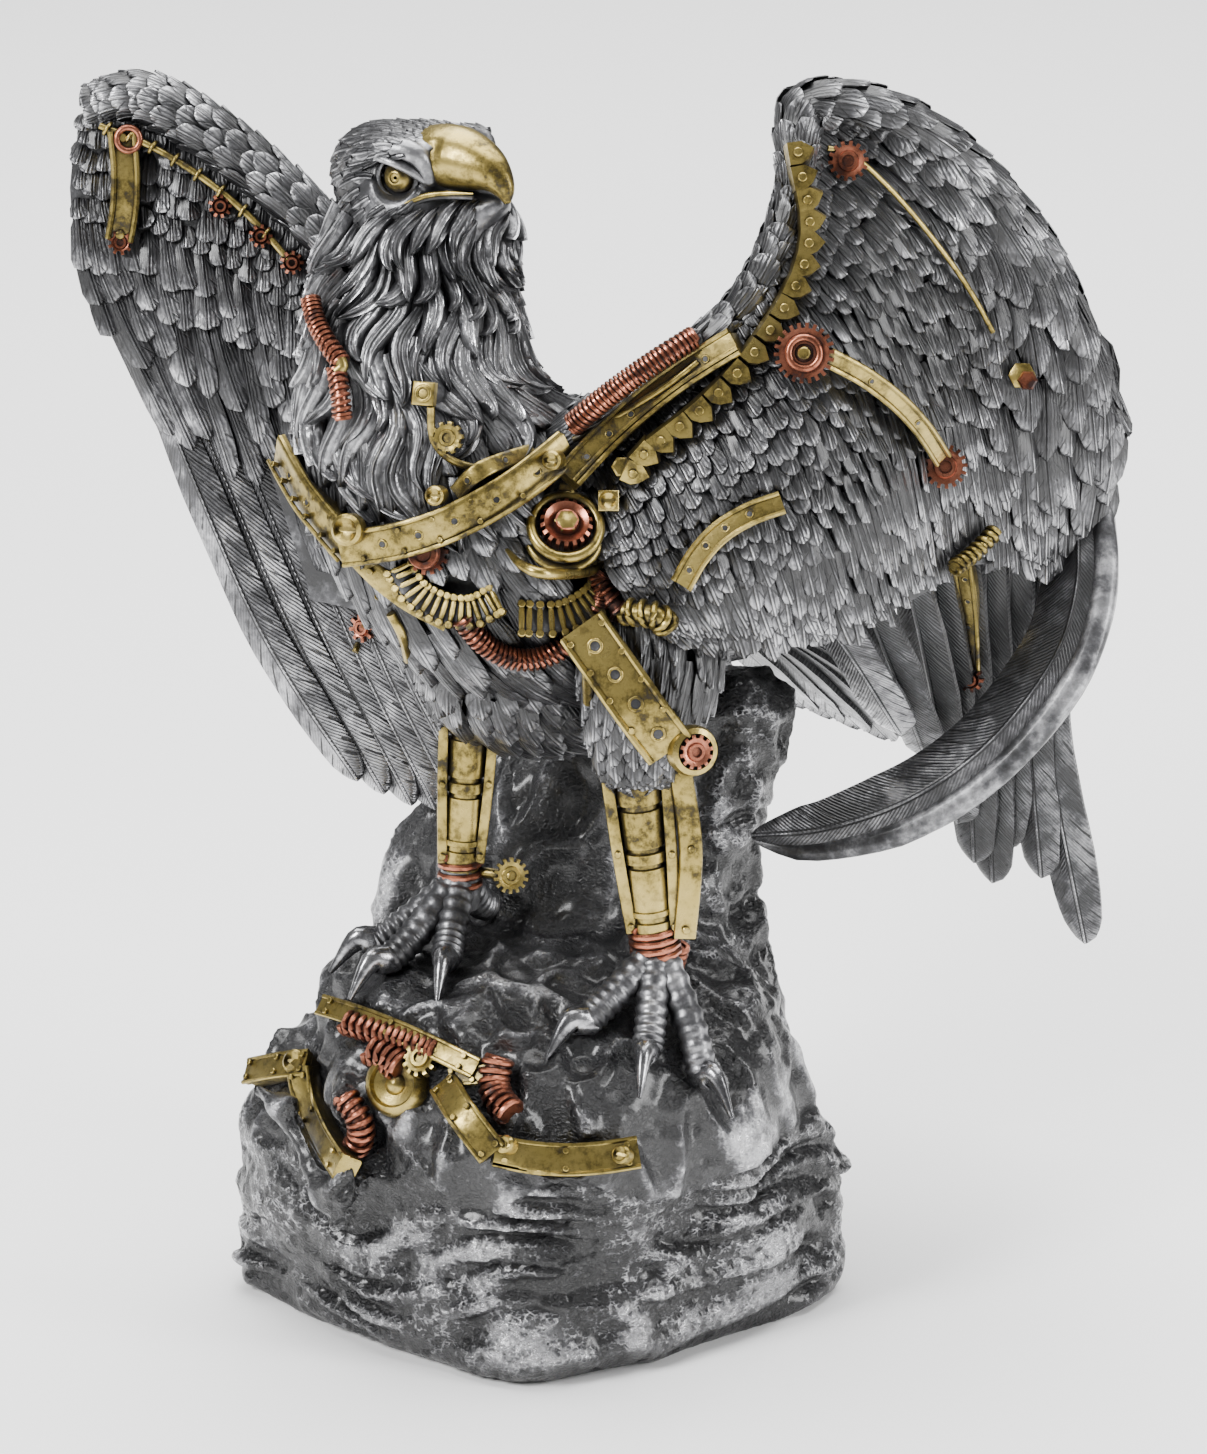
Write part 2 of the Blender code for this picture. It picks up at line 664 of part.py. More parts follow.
def build_head(clay):
    clay.tube(smooth_stations(eagle_stations(FOREHEAD), 8), ACROSS, sides=14)
    clay.tube(smooth_stations(eagle_stations(BEAK), 10), ACROSS, sides=14)
    clay.tube(smooth_stations(eagle_stations(JAW), 6), ACROSS, sides=12)
    for brow in BROWS:
        clay.tube(smooth_stations(eagle_stations(brow), 6), (0, 0, 1), sides=10)
    for place, facing in EYES:
        clay.disc(eagle_place(place), facing, EYE_RADIUS * EAGLE_SCALE, 5 * EAGLE_SCALE)


def build_wing(clay, grid, arm, rows, quills, facing):
    """Web, feathered arm, rows of coverts on both faces, and the flight feathers."""
    wing = Wing(grid)
    clay.sheet(wing, WING_THICKNESS)
    last = len(arm) - 1
    edge = [(wing.place(i / last, 0), r * EAGLE_SCALE, r * EAGLE_SCALE * 0.85) for i, r in enumerate(arm)]
    clay.tube(smooth_stations(edge, 24), (0, -1, 0.2), sides=12)
    for start, end, count in rows:
        clay.shingles(wing, start, end, count)
    for *line, half_width in quills:
        places = [eagle_place(p) for p in line]
        clay.blade(places, half_width * EAGLE_SCALE, QUILL_THICKNESS / 2, facing)


def build_tail(clay):
    root, tip = Vector(TAIL_ROOT), Vector(TAIL_TIP)
    side = Vector(ACROSS)
    for k in range(TAIL_FEATHERS):
        share = 2.0 * k / (TAIL_FEATHERS - 1) - 1.0
        end = tip + side * (share * TAIL_SPREAD / 2) + Vector((0, 0, 4.0 * abs(share)))
        start = root + side * (share * TAIL_SPREAD / 5)
        middle = (start + end) / 2 + Vector((0, 0, 3.0 - 1.5 * abs(share)))
        line = [eagle_place(p) for p in (start, middle, end)]
        facing = Vector((0.45, 0.5, 0.8))
        clay.blade(line, TAIL_HALF_WIDTH * EAGLE_SCALE, QUILL_THICKNESS * 0.6, facing)


def build_shin(clay, shin):
    """Piston tube, a flat bar each side of it and the wire coil at the ankle."""
    top, ankle = (eagle_place(p) for p in shin)
    clay.tube([(top, LEG_RADIUS, LEG_RADIUS), (ankle, LEG_RADIUS, LEG_RADIUS)], (1, 0, 0), sides=14)
    spread = LEG_RADIUS + STRAP_WIDTH * 0.35
    for side in (-1, 1):
        shift = Vector((side * spread, 0, 0))
        strap = [
            (top + shift * 1.15, STRAP_WIDTH / 2, STRAP_WIDTH * 0.8),
            (ankle + shift * 0.75, STRAP_WIDTH / 2, STRAP_WIDTH * 0.6),
        ]
        clay.tube(strap, (1, 0, 0), sides=8)
    rise = Vector((0, 0, ANKLE_RISE * EAGLE_SCALE / 2))
    coil = COIL_RADIUS * EAGLE_SCALE
    clay.tube([(ankle - rise, coil, coil), (ankle + rise, coil, coil)], (1, 0, 0), sides=14)


def build_foot(clay, shin, toes, tree):
    """Toes that leave the ankle, come down on the rock and end in claws."""
    ankle = eagle_place(shin[1])
    for plan in toes:
        root, knuckle, claw = (Vector((x * EAGLE_SCALE, y * EAGLE_SCALE, 0)) for x, y in plan)
        reach = (claw - knuckle).normalized()
        tip = claw + reach * CLAW_LENGTH
        start = Vector((root.x, root.y, ankle.z - 5 * EAGLE_SCALE)).lerp(ankle, 0.5)
        middle = Vector((knuckle.x, knuckle.y, surface_below(tree, knuckle) + TOE_RADIUS * 1.7))
        end = Vector((claw.x, claw.y, surface_below(tree, claw) + TOE_RADIUS * 0.9))
        point = Vector((tip.x, tip.y, end.z - CLAW_LENGTH * CLAW_DROP))
        bend = end.lerp(point, 0.45) + Vector((0, 0, TOE_RADIUS * 0.8))
        stations = [
            (start, TOE_RADIUS, TOE_RADIUS),
            (middle, TOE_RADIUS, TOE_RADIUS),
            (end, TOE_RADIUS * 0.95, TOE_RADIUS * 0.95),
            (bend, TOE_RADIUS * 0.62, TOE_RADIUS * 0.7),
            (point, TOE_RADIUS * 0.3, TOE_RADIUS * 0.3),
        ]
        clay.tube(smooth_stations(stations, 12), reach.cross(Vector((0, 0, 1))), sides=10)


def build_fittings(clay):
    """Harness, hose, spring, hub, thigh plate and the wing's gear and blade."""
    band = [(eagle_place(p), HARNESS_WIDTH / 2, HARNESS_THICKNESS / 2) for p in HARNESS]
    clay.tube(smooth_stations(band, 16), (0, 0, 1), sides=8)
    hose = [(eagle_place(p), HOSE_RADIUS, HOSE_RADIUS) for p in HOSE]
    clay.tube(smooth_stations(hose, 12), (0, 1, 0), sides=10)
    spring = [(eagle_place(p), SPRING_RADIUS, SPRING_RADIUS) for p in SHOULDER_SPRING]
    clay.tube(smooth_stations(spring, 8), (0, 1, 0), sides=10)
    wheel = WHEEL_THICKNESS * EAGLE_SCALE
    clay.disc(eagle_place(CHEST_HUB), (-0.2, -1, 0.3), CHEST_HUB_RADIUS * EAGLE_SCALE, wheel)
    clay.disc(eagle_place(WING_GEAR), (-0.1, -1, 0.1), WING_GEAR_RADIUS * EAGLE_SCALE, wheel)
    plate = [(eagle_place(p), THIGH_PLATE_HALF_WIDTH * EAGLE_SCALE, 2 * EAGLE_SCALE) for p in THIGH_PLATE]
    clay.tube(smooth_stations(plate, 6), (0.75, 0, 0.65), sides=8)
    cap = CAP_THICKNESS * EAGLE_SCALE
    clay.disc(eagle_place(THIGH_CAP), (0.5, -0.85, 0), THIGH_CAP_RADIUS * EAGLE_SCALE, cap)
    blade = [(eagle_place(p), 3 * EAGLE_SCALE, 2 * EAGLE_SCALE) for p in WING_BLADE]
    clay.tube(smooth_stations(blade, 8), (0.6, 0.2, 0.8), sides=8)


def swollen(rock):
    """A copy of the rock, grown by the seat gap, that trims the eagle."""
    cutter = rock.copy()
    cutter.data = rock.data.copy()
    cutter.name = "seat_cutter"
    bpy.context.scene.collection.objects.link(cutter)
    normals = [v.normal.copy() for v in cutter.data.vertices]
    for vertex, normal in zip(cutter.data.vertices, normals):
        vertex.co += normal * SEAT_GAP
    cutter.hide_render = True
    cutter.display_type = "WIRE"
    return cutter


def build_eagle(material, rock):
    tree = BVHTree.FromPolygons(
        [v.co for v in rock.data.vertices], [tuple(p.vertices) for p in rock.data.polygons]
    )
    clay = Clay()
    build_body(clay)
    build_neck_locks(clay)
    build_head(clay)
    build_wing(clay, LEFT_WING, LEFT_ARM, LEFT_ROWS, LEFT_QUILLS, LEFT_QUILL_FACING)
    build_wing(clay, RIGHT_WING, RIGHT_ARM, RIGHT_ROWS, RIGHT_QUILLS, RIGHT_QUILL_FACING)
    curl = smooth_stations(eagle_stations(CURLED_QUILL), 20)
    clay.tube(curl, Vector(CURLED_FACING).cross(Vector((0.4, 0, 1))), sides=10)
    build_tail(clay)
    for shin, toes in ((LEFT_SHIN, LEFT_TOES), (RIGHT_SHIN, RIGHT_TOES)):
        build_shin(clay, shin)
        build_foot(clay, shin, toes, tree)
    build_fittings(clay)
    keen = (eagle_place(HEAD_CENTRE), HEAD_REACH * EAGLE_SCALE)
    eagle = clay.fuse("eagle", EAGLE_VOXEL, EAGLE_TRIANGLES, material, keen)
    seat = eagle.modifiers.new("seat", "BOOLEAN")
    seat.operation = "DIFFERENCE"
    seat.solver = "EXACT"
    seat.object = swollen(rock)
    apply_modifiers(eagle)
    keep_largest(eagle)
    return eagle


def main():
    clear_scene()
    silver = finish_of("antique_silver", (0.42, 0.42, 0.43), 0.38, 0.85)
    stone = finish_of("dark_pewter_rock", (0.30, 0.30, 0.31), 0.45, 0.8)
    rock = build_rock(stone)
    eagle = build_eagle(silver, rock)
    for solid in (rock, eagle):
        solid.data.shade_smooth()
        solid.data.set_sharp_from_angle(angle=math.radians(50))


main()
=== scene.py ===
"""Looks of the clockwork eagle figurine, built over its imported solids.

Places are written in millimetres in the part's own frame: +Z up, front towards -Y. Feathers are closed shells
laid in rows over the same limbs and wing surfaces as the solids, and the clockwork is built on top of them.
"""

import itertools
import math
import random

import bmesh
import bpy
import numpy as np
from mathutils import Matrix, Vector, noise
from mathutils.bvhtree import BVHTree


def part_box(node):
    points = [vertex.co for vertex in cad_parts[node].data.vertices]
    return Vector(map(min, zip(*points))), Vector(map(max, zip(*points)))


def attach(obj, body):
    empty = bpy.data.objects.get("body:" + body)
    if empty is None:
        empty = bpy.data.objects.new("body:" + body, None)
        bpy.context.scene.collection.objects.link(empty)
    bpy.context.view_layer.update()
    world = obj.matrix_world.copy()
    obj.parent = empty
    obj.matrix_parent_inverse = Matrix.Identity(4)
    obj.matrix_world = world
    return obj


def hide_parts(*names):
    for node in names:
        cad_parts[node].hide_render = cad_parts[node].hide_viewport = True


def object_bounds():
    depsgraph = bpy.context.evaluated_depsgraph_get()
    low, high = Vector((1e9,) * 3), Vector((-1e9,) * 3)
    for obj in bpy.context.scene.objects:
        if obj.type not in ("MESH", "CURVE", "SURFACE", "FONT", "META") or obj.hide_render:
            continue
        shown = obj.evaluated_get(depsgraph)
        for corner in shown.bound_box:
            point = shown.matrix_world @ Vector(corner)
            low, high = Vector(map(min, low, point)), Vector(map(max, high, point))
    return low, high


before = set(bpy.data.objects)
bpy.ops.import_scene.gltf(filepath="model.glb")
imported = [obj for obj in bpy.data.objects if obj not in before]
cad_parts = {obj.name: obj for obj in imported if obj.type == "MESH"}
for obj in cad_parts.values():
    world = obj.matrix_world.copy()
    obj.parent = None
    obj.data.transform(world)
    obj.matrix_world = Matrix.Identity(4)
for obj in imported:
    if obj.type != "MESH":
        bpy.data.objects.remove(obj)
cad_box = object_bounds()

MM = 0.001
UP = Vector((0, 0, 1))
ACROSS = Vector((0.84, -0.54, 0.0))  # from the eagle's right to its left
chance = random.Random(7)

# Places shared with the solids, in millimetres.
SPINE = (
    (50, 50, 158, 9, 8),
    (34, 34, 166, 22, 19),
    (14, 14, 177, 32, 30),
    (-4, -2, 187, 34, 35),
    (-19, -9, 203, 32, 31),
    (-27, -8, 224, 26, 25),
    (-28, -4, 246, 22, 21),
    (-28, -2, 262, 19, 20),
    (-28.5, 0, 272, 17, 17),
    (-27, -1, 279, 14, 14),
    (-24, -2, 282, 7, 9),
)
BELLY = ((-11, -12, 170, 19, 15), (-4, 0, 156, 22, 17), (16, 16, 152, 20, 14), (34, 32, 158, 12, 10))
LEFT_THIGH = (
    (22, -4, 192, 17, 18),
    (25, -18, 178, 17, 18),
    (25, -26, 162, 15, 15),
    (23, -28, 147, 10, 10),
    (23, -28, 140, 7, 7),
)
RIGHT_THIGH = ((-20, 2, 182, 15, 16), (-19, 2, 166, 14, 15), (-17, 2, 153, 10, 10), (-17, 2, 145, 7, 7))
LEFT_WING = (
    ((4, -22, 216), (12, -33, 202), (20, -37, 189), (30, -38, 177)),
    ((24, -25, 231), (36, -36, 215), (44, -39, 196), (50, -34, 176)),
    ((46, -25, 250), (59, -32, 228), (65, -32, 203), (71, -26, 176)),
    ((57, -19, 273), (72, -16, 251), (80, -14, 216), (86, -8, 177)),
    ((61, -6, 291), (83, -2, 262), (94, 3, 223), (99, 8, 180)),
    ((88, 5, 283), (105, 10, 250), (109, 13, 215), (112, 18, 178)),
    ((116, 17, 254), (125, 22, 228), (125, 24, 202), (123, 27, 176)),
    ((137, 29, 207), (136, 31, 198), (133, 32, 188), (127, 33, 179)),
)
RIGHT_WING = (
    ((-36, 26, 234), (-34, 25, 212), (-32, 25, 188), (-28, 26, 160)),
    ((-50, 36, 253), (-50, 34, 231), (-47, 31, 204), (-37, 28, 162)),
    ((-71, 43, 271), (-70, 40, 245), (-64, 36, 213), (-49, 31, 164)),
    ((-92, 47, 283), (-92, 44, 255), (-85, 40, 224), (-61, 34, 166)),
    ((-107, 49, 281), (-111, 47, 258), (-102, 44, 227), (-72, 37, 170)),
)
EDGE_ACROSS = (0, -1, 0.2)
LEFT_ARM = (9, 6.5, 5.5, 5.5, 7.5, 7, 5.5, 4)
RIGHT_ARM = (8, 8, 8.5, 8.5, 6.5)
LEFT_QUILLS = (
    ((56, -16, 188), (72, -1, 163), (86, 16, 137)),
    ((80, -4, 188), (90, 14, 152), (98, 32, 120)),
    ((92, 8, 190), (99, 26, 146), (103, 40, 104)),
    ((104, 16, 195), (107, 34, 142), (111, 45, 88)),
    ((115, 22, 200), (115, 36, 146), (117, 44, 98)),
    ((123, 28, 205), (122, 38, 140), (135, 43, 73)),
)
RIGHT_QUILLS = (
    ((-88, 38, 208), (-67, 31, 158), (-44, 27, 121)),
    ((-77, 37, 204), (-57, 32, 156), (-36, 28, 116.5)),
    ((-67, 36, 202), (-48, 32, 154), (-28, 28, 113.5)),
    ((-57, 35, 200), (-40, 31, 152), (-22, 29, 114)),
    ((-48, 34, 196), (-33, 30, 150), (-17, 29, 119)),
)
CURLED_QUILL = (
    (128, 35, 197),
    (128.5, 30, 184),
    (127.5, 20, 170),
    (121.5, 12, 155),
    (106.5, 8, 136),
    (88, 8, 122),
    (68, 10, 114),
    (51, 14, 111),
)
RIGHT_QUILL_FACING = Vector((-0.32, -0.93, 0.1))


def spline(points, share):
    """A smooth curve through all the points, read at a share from 0 to 1."""
    points = np.asarray(points, float)
    last = len(points) - 1
    at = min(max(share, 0.0), 1.0) * last
    i = min(int(at), last - 1)
    t = at - i
    before, a, b, after = points[max(i - 1, 0)], points[i], points[i + 1], points[min(i + 2, last)]
    return 0.5 * (
        2 * a
        + (b - before) * t
        + (2 * before - 5 * a + 4 * b - after) * t**2
        + (3 * a - before - 3 * b + after) * t**3
    )


def ease(value, low, high):
    """0 below low, 1 above high, and smooth between."""
    t = min(max((value - low) / (high - low), 0.0), 1.0)
    return t * t * (3 - 2 * t)


def heading(line, share, step=0.03):
    """The way a line runs at a share of its length."""
    line = np.asarray(line, float)[:, :3]
    return Vector(spline(line, min(share + step, 1)) - spline(line, max(share - step, 0))).normalized()


def length_of(line):
    return sum((Vector(b) - Vector(a)).length for a, b in zip(line, line[1:]))


def closed_skin(count, wide):
    """Faces round this many rings of points, with both ends capped."""
    faces = [list(range(wide))[::-1], [(count - 1) * wide + k for k in range(wide)]]
    for i in range(count - 1):
        for k in range(wide):
            a, b = i * wide + k, i * wide + (k + 1) % wide
            faces.append([a, b, b + wide, a + wide])
    return faces


class Limb:
    """A round limb through stations of place, half width and half thickness, in millimetres."""

    def __init__(self, stations, across=ACROSS):
        self.stations = np.array(stations, float)
        self.across = Vector(across)

    def at(self, t):
        row = spline(self.stations, t)
        ahead = heading(self.stations, t, 0.01)
        side = (self.across - ahead * self.across.dot(ahead)).normalized()
        return Vector(row[:3]), max(row[3], 0.3), max(row[4], 0.3), side, ahead.cross(side)

    def place(self, t, turn, lift=0.0):
        centre, wide, thick, side, out = self.at(t)
        return centre + side * (math.cos(turn) * (wide + lift)) + out * (math.sin(turn) * (thick + lift))

    def normal(self, t, turn):
        centre, wide, thick, side, out = self.at(t)
        return (side * (math.cos(turn) * thick) + out * (math.sin(turn) * wide)).normalized()

    def girth(self, t):
        row = spline(self.stations, t)
        return math.pi * (row[3] + row[4])

    def length(self):
        return length_of([spline(self.stations, i / 20)[:3] for i in range(21)])


class Wing:
    """The smooth surface through a grid of places, in millimetres."""

    def __init__(self, grid):
        self.grid = np.array(grid, float)

    def place(self, u, v):
        return Vector(spline(spline(self.grid, u), v))

    def normal(self, u, v):
        step = 0.02
        along = self.place(min(u + step, 1), v) - self.place(max(u - step, 0), v)
        down = self.place(u, min(v + step, 1)) - self.place(u, max(v - step, 0))
        normal = along.cross(down).normalized()
        return normal if normal.y < 0 else -normal

    def span(self, v):
        return length_of([self.place(i / 24, v) for i in range(25)])


def deselect():
    if bpy.context.object and bpy.context.object.mode != "OBJECT":
        bpy.ops.object.mode_set(mode="OBJECT")
    bpy.ops.object.select_all(action="DESELECT")


def pick(thing):
    deselect()
    thing.select_set(True)
    bpy.context.view_layer.objects.active = thing
    return thing


def new_mesh(name, points, faces):
    mesh = bpy.data.meshes.new(name)
    mesh.from_pydata([tuple(c * MM for c in p) for p in points], [], faces)
    thing = bpy.data.objects.new(name, mesh)
    bpy.context.scene.collection.objects.link(thing)
    return thing


def outward(thing):
    pick(thing)
    bpy.ops.object.mode_set(mode="EDIT")
    bpy.ops.mesh.select_all(action="SELECT")
    bpy.ops.mesh.normals_make_consistent(inside=False)
    bpy.ops.object.mode_set(mode="OBJECT")
    return thing


def join(name, things):
    deselect()
    for thing in things:
        thing.select_set(True)
    bpy.context.view_layer.objects.active = things[0]
    bpy.ops.object.join()
    things[0].name = name
    things[0].data.name = name
    return things[0]


def apply_all(thing):
    pick(thing)
    for modifier in list(thing.modifiers):
        bpy.ops.object.modifier_apply(modifier=modifier.name)
    return thing


def smooth(thing, angle=40):
    pick(thing)
    bpy.ops.object.shade_smooth_by_angle(angle=math.radians(angle))
    return thing


def trimmed(thing, box):
    """Brings in any point that would stand outside a box of the solids."""
    places = np.empty(len(thing.data.vertices) * 3)
    thing.data.vertices.foreach_get("co", places)
    inside = np.clip(places.reshape(-1, 3), *np.array(box))
    thing.data.vertices.foreach_set("co", inside.ravel())
    thing.data.update()


def dressed(thing, finish, node=None):
    """Gives a finished piece its material, its place in the frame and the node that it stands for."""
    trimmed(thing, cad_box)
    thing.data.materials.clear()
    thing.data.materials.append(finish)
    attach(thing, "root")
    if node:
        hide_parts(node)


# Forms made from lines


def tube_mesh(stations, across=(0, 0, 1), sides=16, steps=None, power=1.0):
    """Points and faces of a closed limb through stations of place and two half sizes."""
    if steps:
        stations = [spline(stations, i / steps) for i in range(steps + 1)]
    stations = np.array(stations, float)
    across = Vector(across)
    points = []
    last = len(stations) - 1
    for i, row in enumerate(stations):
        ahead = Vector(stations[min(i + 1, last)][:3] - stations[max(i - 1, 0)][:3]).normalized()
        side = (across - ahead * across.dot(ahead)).normalized()
        out = ahead.cross(side)
        for k in range(sides):
            turn = 2 * math.pi * (k + 0.5) / sides
            c, s = math.cos(turn), math.sin(turn)
            c, s = math.copysign(abs(c) ** power, c), math.copysign(abs(s) ** power, s)
            points.append(Vector(row[:3]) + side * (c * row[3]) + out * (s * row[4]))
    return points, closed_skin(last + 1, sides)


def tube(name, stations, **how):
    return new_mesh(name, *tube_mesh(stations, **how))


def round_rod(name, line, radius, sides=12, steps=24):
    return tube(name, [(*p, radius, radius) for p in line], sides=sides, steps=steps, across=(0.3, 0.9, 0.2))


def coil(name, line, radius, wire, pitch, sides=8):
    """A spring of round wire wound along a line."""
    turns = max(2, round(length_of(line) / pitch))
    steps = turns * 12
    path = []
    for i in range(steps + 1):
        share = i / steps
        centre = Vector(spline(line, share))
        ahead = heading(line, share, 0.01)
        side = ahead.orthogonal() if abs(ahead.z) > 0.9 else ahead.cross(UP)
        side.normalize()
        turn = 2 * math.pi * turns * share
        off = side * (math.cos(turn) * radius) + ahead.cross(side) * (math.sin(turn) * radius)
        path.append((*(centre + off), wire, wire))
    wound = tube(name, path, sides=sides)
    core = round_rod(name + "_core", line, radius * 0.85, sides=10)
    return join(name, [wound, core])


def spin_to(thing, centre, axis):
    """Turns an object made along +Z to face along axis, and moves it to its centre."""
    turn = Vector(axis).to_track_quat("Z", "Y").to_matrix().to_4x4()
    thing.matrix_world = Matrix.Translation(Vector(centre) * MM) @ turn
    pick(thing)
    bpy.ops.object.transform_apply(location=True, rotation=True, scale=True)
    return thing


def choose(thing, wanted):
    """Selects, in edit mode, the faces that wanted picks out of all of them."""
    shape = bmesh.from_edit_mesh(thing.data)
    shape.select_mode = {"FACE"}
    bpy.ops.mesh.select_all(action="DESELECT")
    for face in wanted(shape.faces):
        face.select_set(True)
    bmesh.update_edit_mesh(thing.data)


def disc(name, sides, radius, tall):
    """A round blank, opened for editing."""
    deselect()
    bpy.ops.mesh.primitive_cylinder_add(vertices=sides, radius=radius * MM, depth=tall * MM)
    bpy.context.object.name = name
    bpy.ops.object.mode_set(mode="EDIT")
    return bpy.context.object


def every_other_side(faces):
    sides = [f for f in faces if len(f.verts) == 4]
    sides.sort(key=lambda f: math.atan2(f.calc_center_median().y, f.calc_center_median().x))
    return sides[::2]


def gear(name, centre, axis, radius, teeth=16, thick=2.4, tooth=0.18, bore=0.32, hub=0.55):
    """A toothed wheel: alternate rim faces are drawn out into teeth, and the middle is let in round a hub."""
    wheel = disc(name, teeth * 2, radius * (1 - tooth), thick)
    choose(wheel, every_other_side)
    draw_out = {"value": radius * tooth * 1.1 * MM}
    bpy.ops.mesh.extrude_faces_move(TRANSFORM_OT_shrink_fatten=draw_out)
    bpy.ops.transform.resize(value=(1.0, 1.0, 0.86))
    choose(wheel, lambda faces: [f for f in faces if len(f.verts) > 4])
    steps = (1 - hub - tooth, -0.3), (0.06, 0.5), (hub - bore - 0.06, 0.0), (0.03, -0.7)
    for inset, depth in steps:
        bpy.ops.mesh.inset(thickness=radius * inset * MM)
        bpy.ops.transform.shrink_fatten(value=depth * thick * 0.5 * MM)
    bpy.ops.object.mode_set(mode="OBJECT")
    return spin_to(wheel, centre, axis)


def screw(name, centre, axis, radius, slot=True, tall=1.2):
    """A domed screw head with a slot sunk across it."""
    head = disc(name, 20, radius, tall * 2)
    choose(head, lambda faces: [f for f in faces if f.normal.z > 0.9])
    bpy.ops.mesh.inset(thickness=radius * 0.22 * MM)
    bpy.ops.transform.translate(value=(0, 0, radius * 0.22 * MM))
    if slot:
        bpy.ops.mesh.inset(thickness=radius * 0.42 * MM)
        bpy.ops.transform.resize(value=(2.0, 0.55, 1.0))
        bpy.ops.transform.translate(value=(0, 0, -radius * 0.45 * MM))
    bpy.ops.object.mode_set(mode="OBJECT")
    return spin_to(head, centre, axis)


def ring(name, centre, axis, radius, wire):
    deselect()
    bpy.ops.mesh.primitive_torus_add(
        major_radius=radius * MM, minor_radius=wire * MM, major_segments=32, minor_segments=10
    )
    hoop = bpy.context.object
    hoop.name = name
    return spin_to(hoop, centre, axis)


def drum(name, centre, axis, radius, tall, grooves=0):
    """A turned drum whose side is cut with grooves."""
    profile = [(0.0, -tall / 2), (radius * 0.92, -tall / 2)]
    bands = grooves * 2 + 1
    for k in range(bands):
        z = tall * ((k + 0.5) / bands - 0.5)
        wide = radius * (1 - 0.12 * (k % 2))
        profile += [(wide, z - tall * 0.16 / bands), (wide, z + tall * 0.16 / bands)]
    top, dished = tall / 2, tall * 0.42
    profile += [(radius * 0.92, top), (radius * 0.6, top), (radius * 0.5, dished), (0.0, dished)]
    return lathe(name, profile, centre, axis)


def lathe(name, profile, centre, axis, sides=28, turned=0.0):
    """Spins a profile of radius and height pairs round an axis."""
    points = []
    for radius, z in profile:
        radius = max(radius, 0.01)
        for k in range(sides):
            turn = 2 * math.pi * (k + turned) / sides
            points.append((radius * math.cos(turn), radius * math.sin(turn), z))
    return spin_to(new_mesh(name, points, closed_skin(len(profile), sides)), centre, axis)


def along(line, share, facing, lift=0.0, shift=0.0):
    """A place on a strip: lifted off its face and shifted across it, and the face's normal there."""
    at = Vector(spline(line, share))
    ahead = heading(line, share, 0.02)
    side = ahead.cross(Vector(facing)).normalized()
    normal = side.cross(ahead).normalized()
    return at + normal * lift + side * shift, normal


# Feathers


SHAPES = {
    "round": ((0, 0.45), (0.25, 0.82), (0.55, 1.0), (0.8, 0.93), (0.93, 0.62), (1.0, 0.14)),
    "long": ((0, 0.4), (0.12, 0.72), (0.45, 0.94), (0.8, 1.0), (0.93, 0.8), (0.98, 0.5), (1.0, 0.15)),
    "curl": ((0, 0.7), (0.2, 0.95), (0.45, 1.0), (0.75, 0.95), (0.9, 0.7), (1.0, 0.12)),
    "leaf": ((0, 0.45), (0.3, 0.92), (0.55, 1.0), (0.8, 0.76), (0.93, 0.42), (1.0, 0.06)),
    "point": ((0, 0.5), (0.3, 0.95), (0.55, 0.9), (0.8, 0.58), (0.93, 0.28), (1.0, 0.04)),
}


def paint(mesh, name, values):
    """Writes four values for each point of the mesh as a named attribute."""
    layer = mesh.attributes.new(name, "FLOAT_COLOR", "POINT")
    layer.data.foreach_set("color", np.array(values, float).ravel())


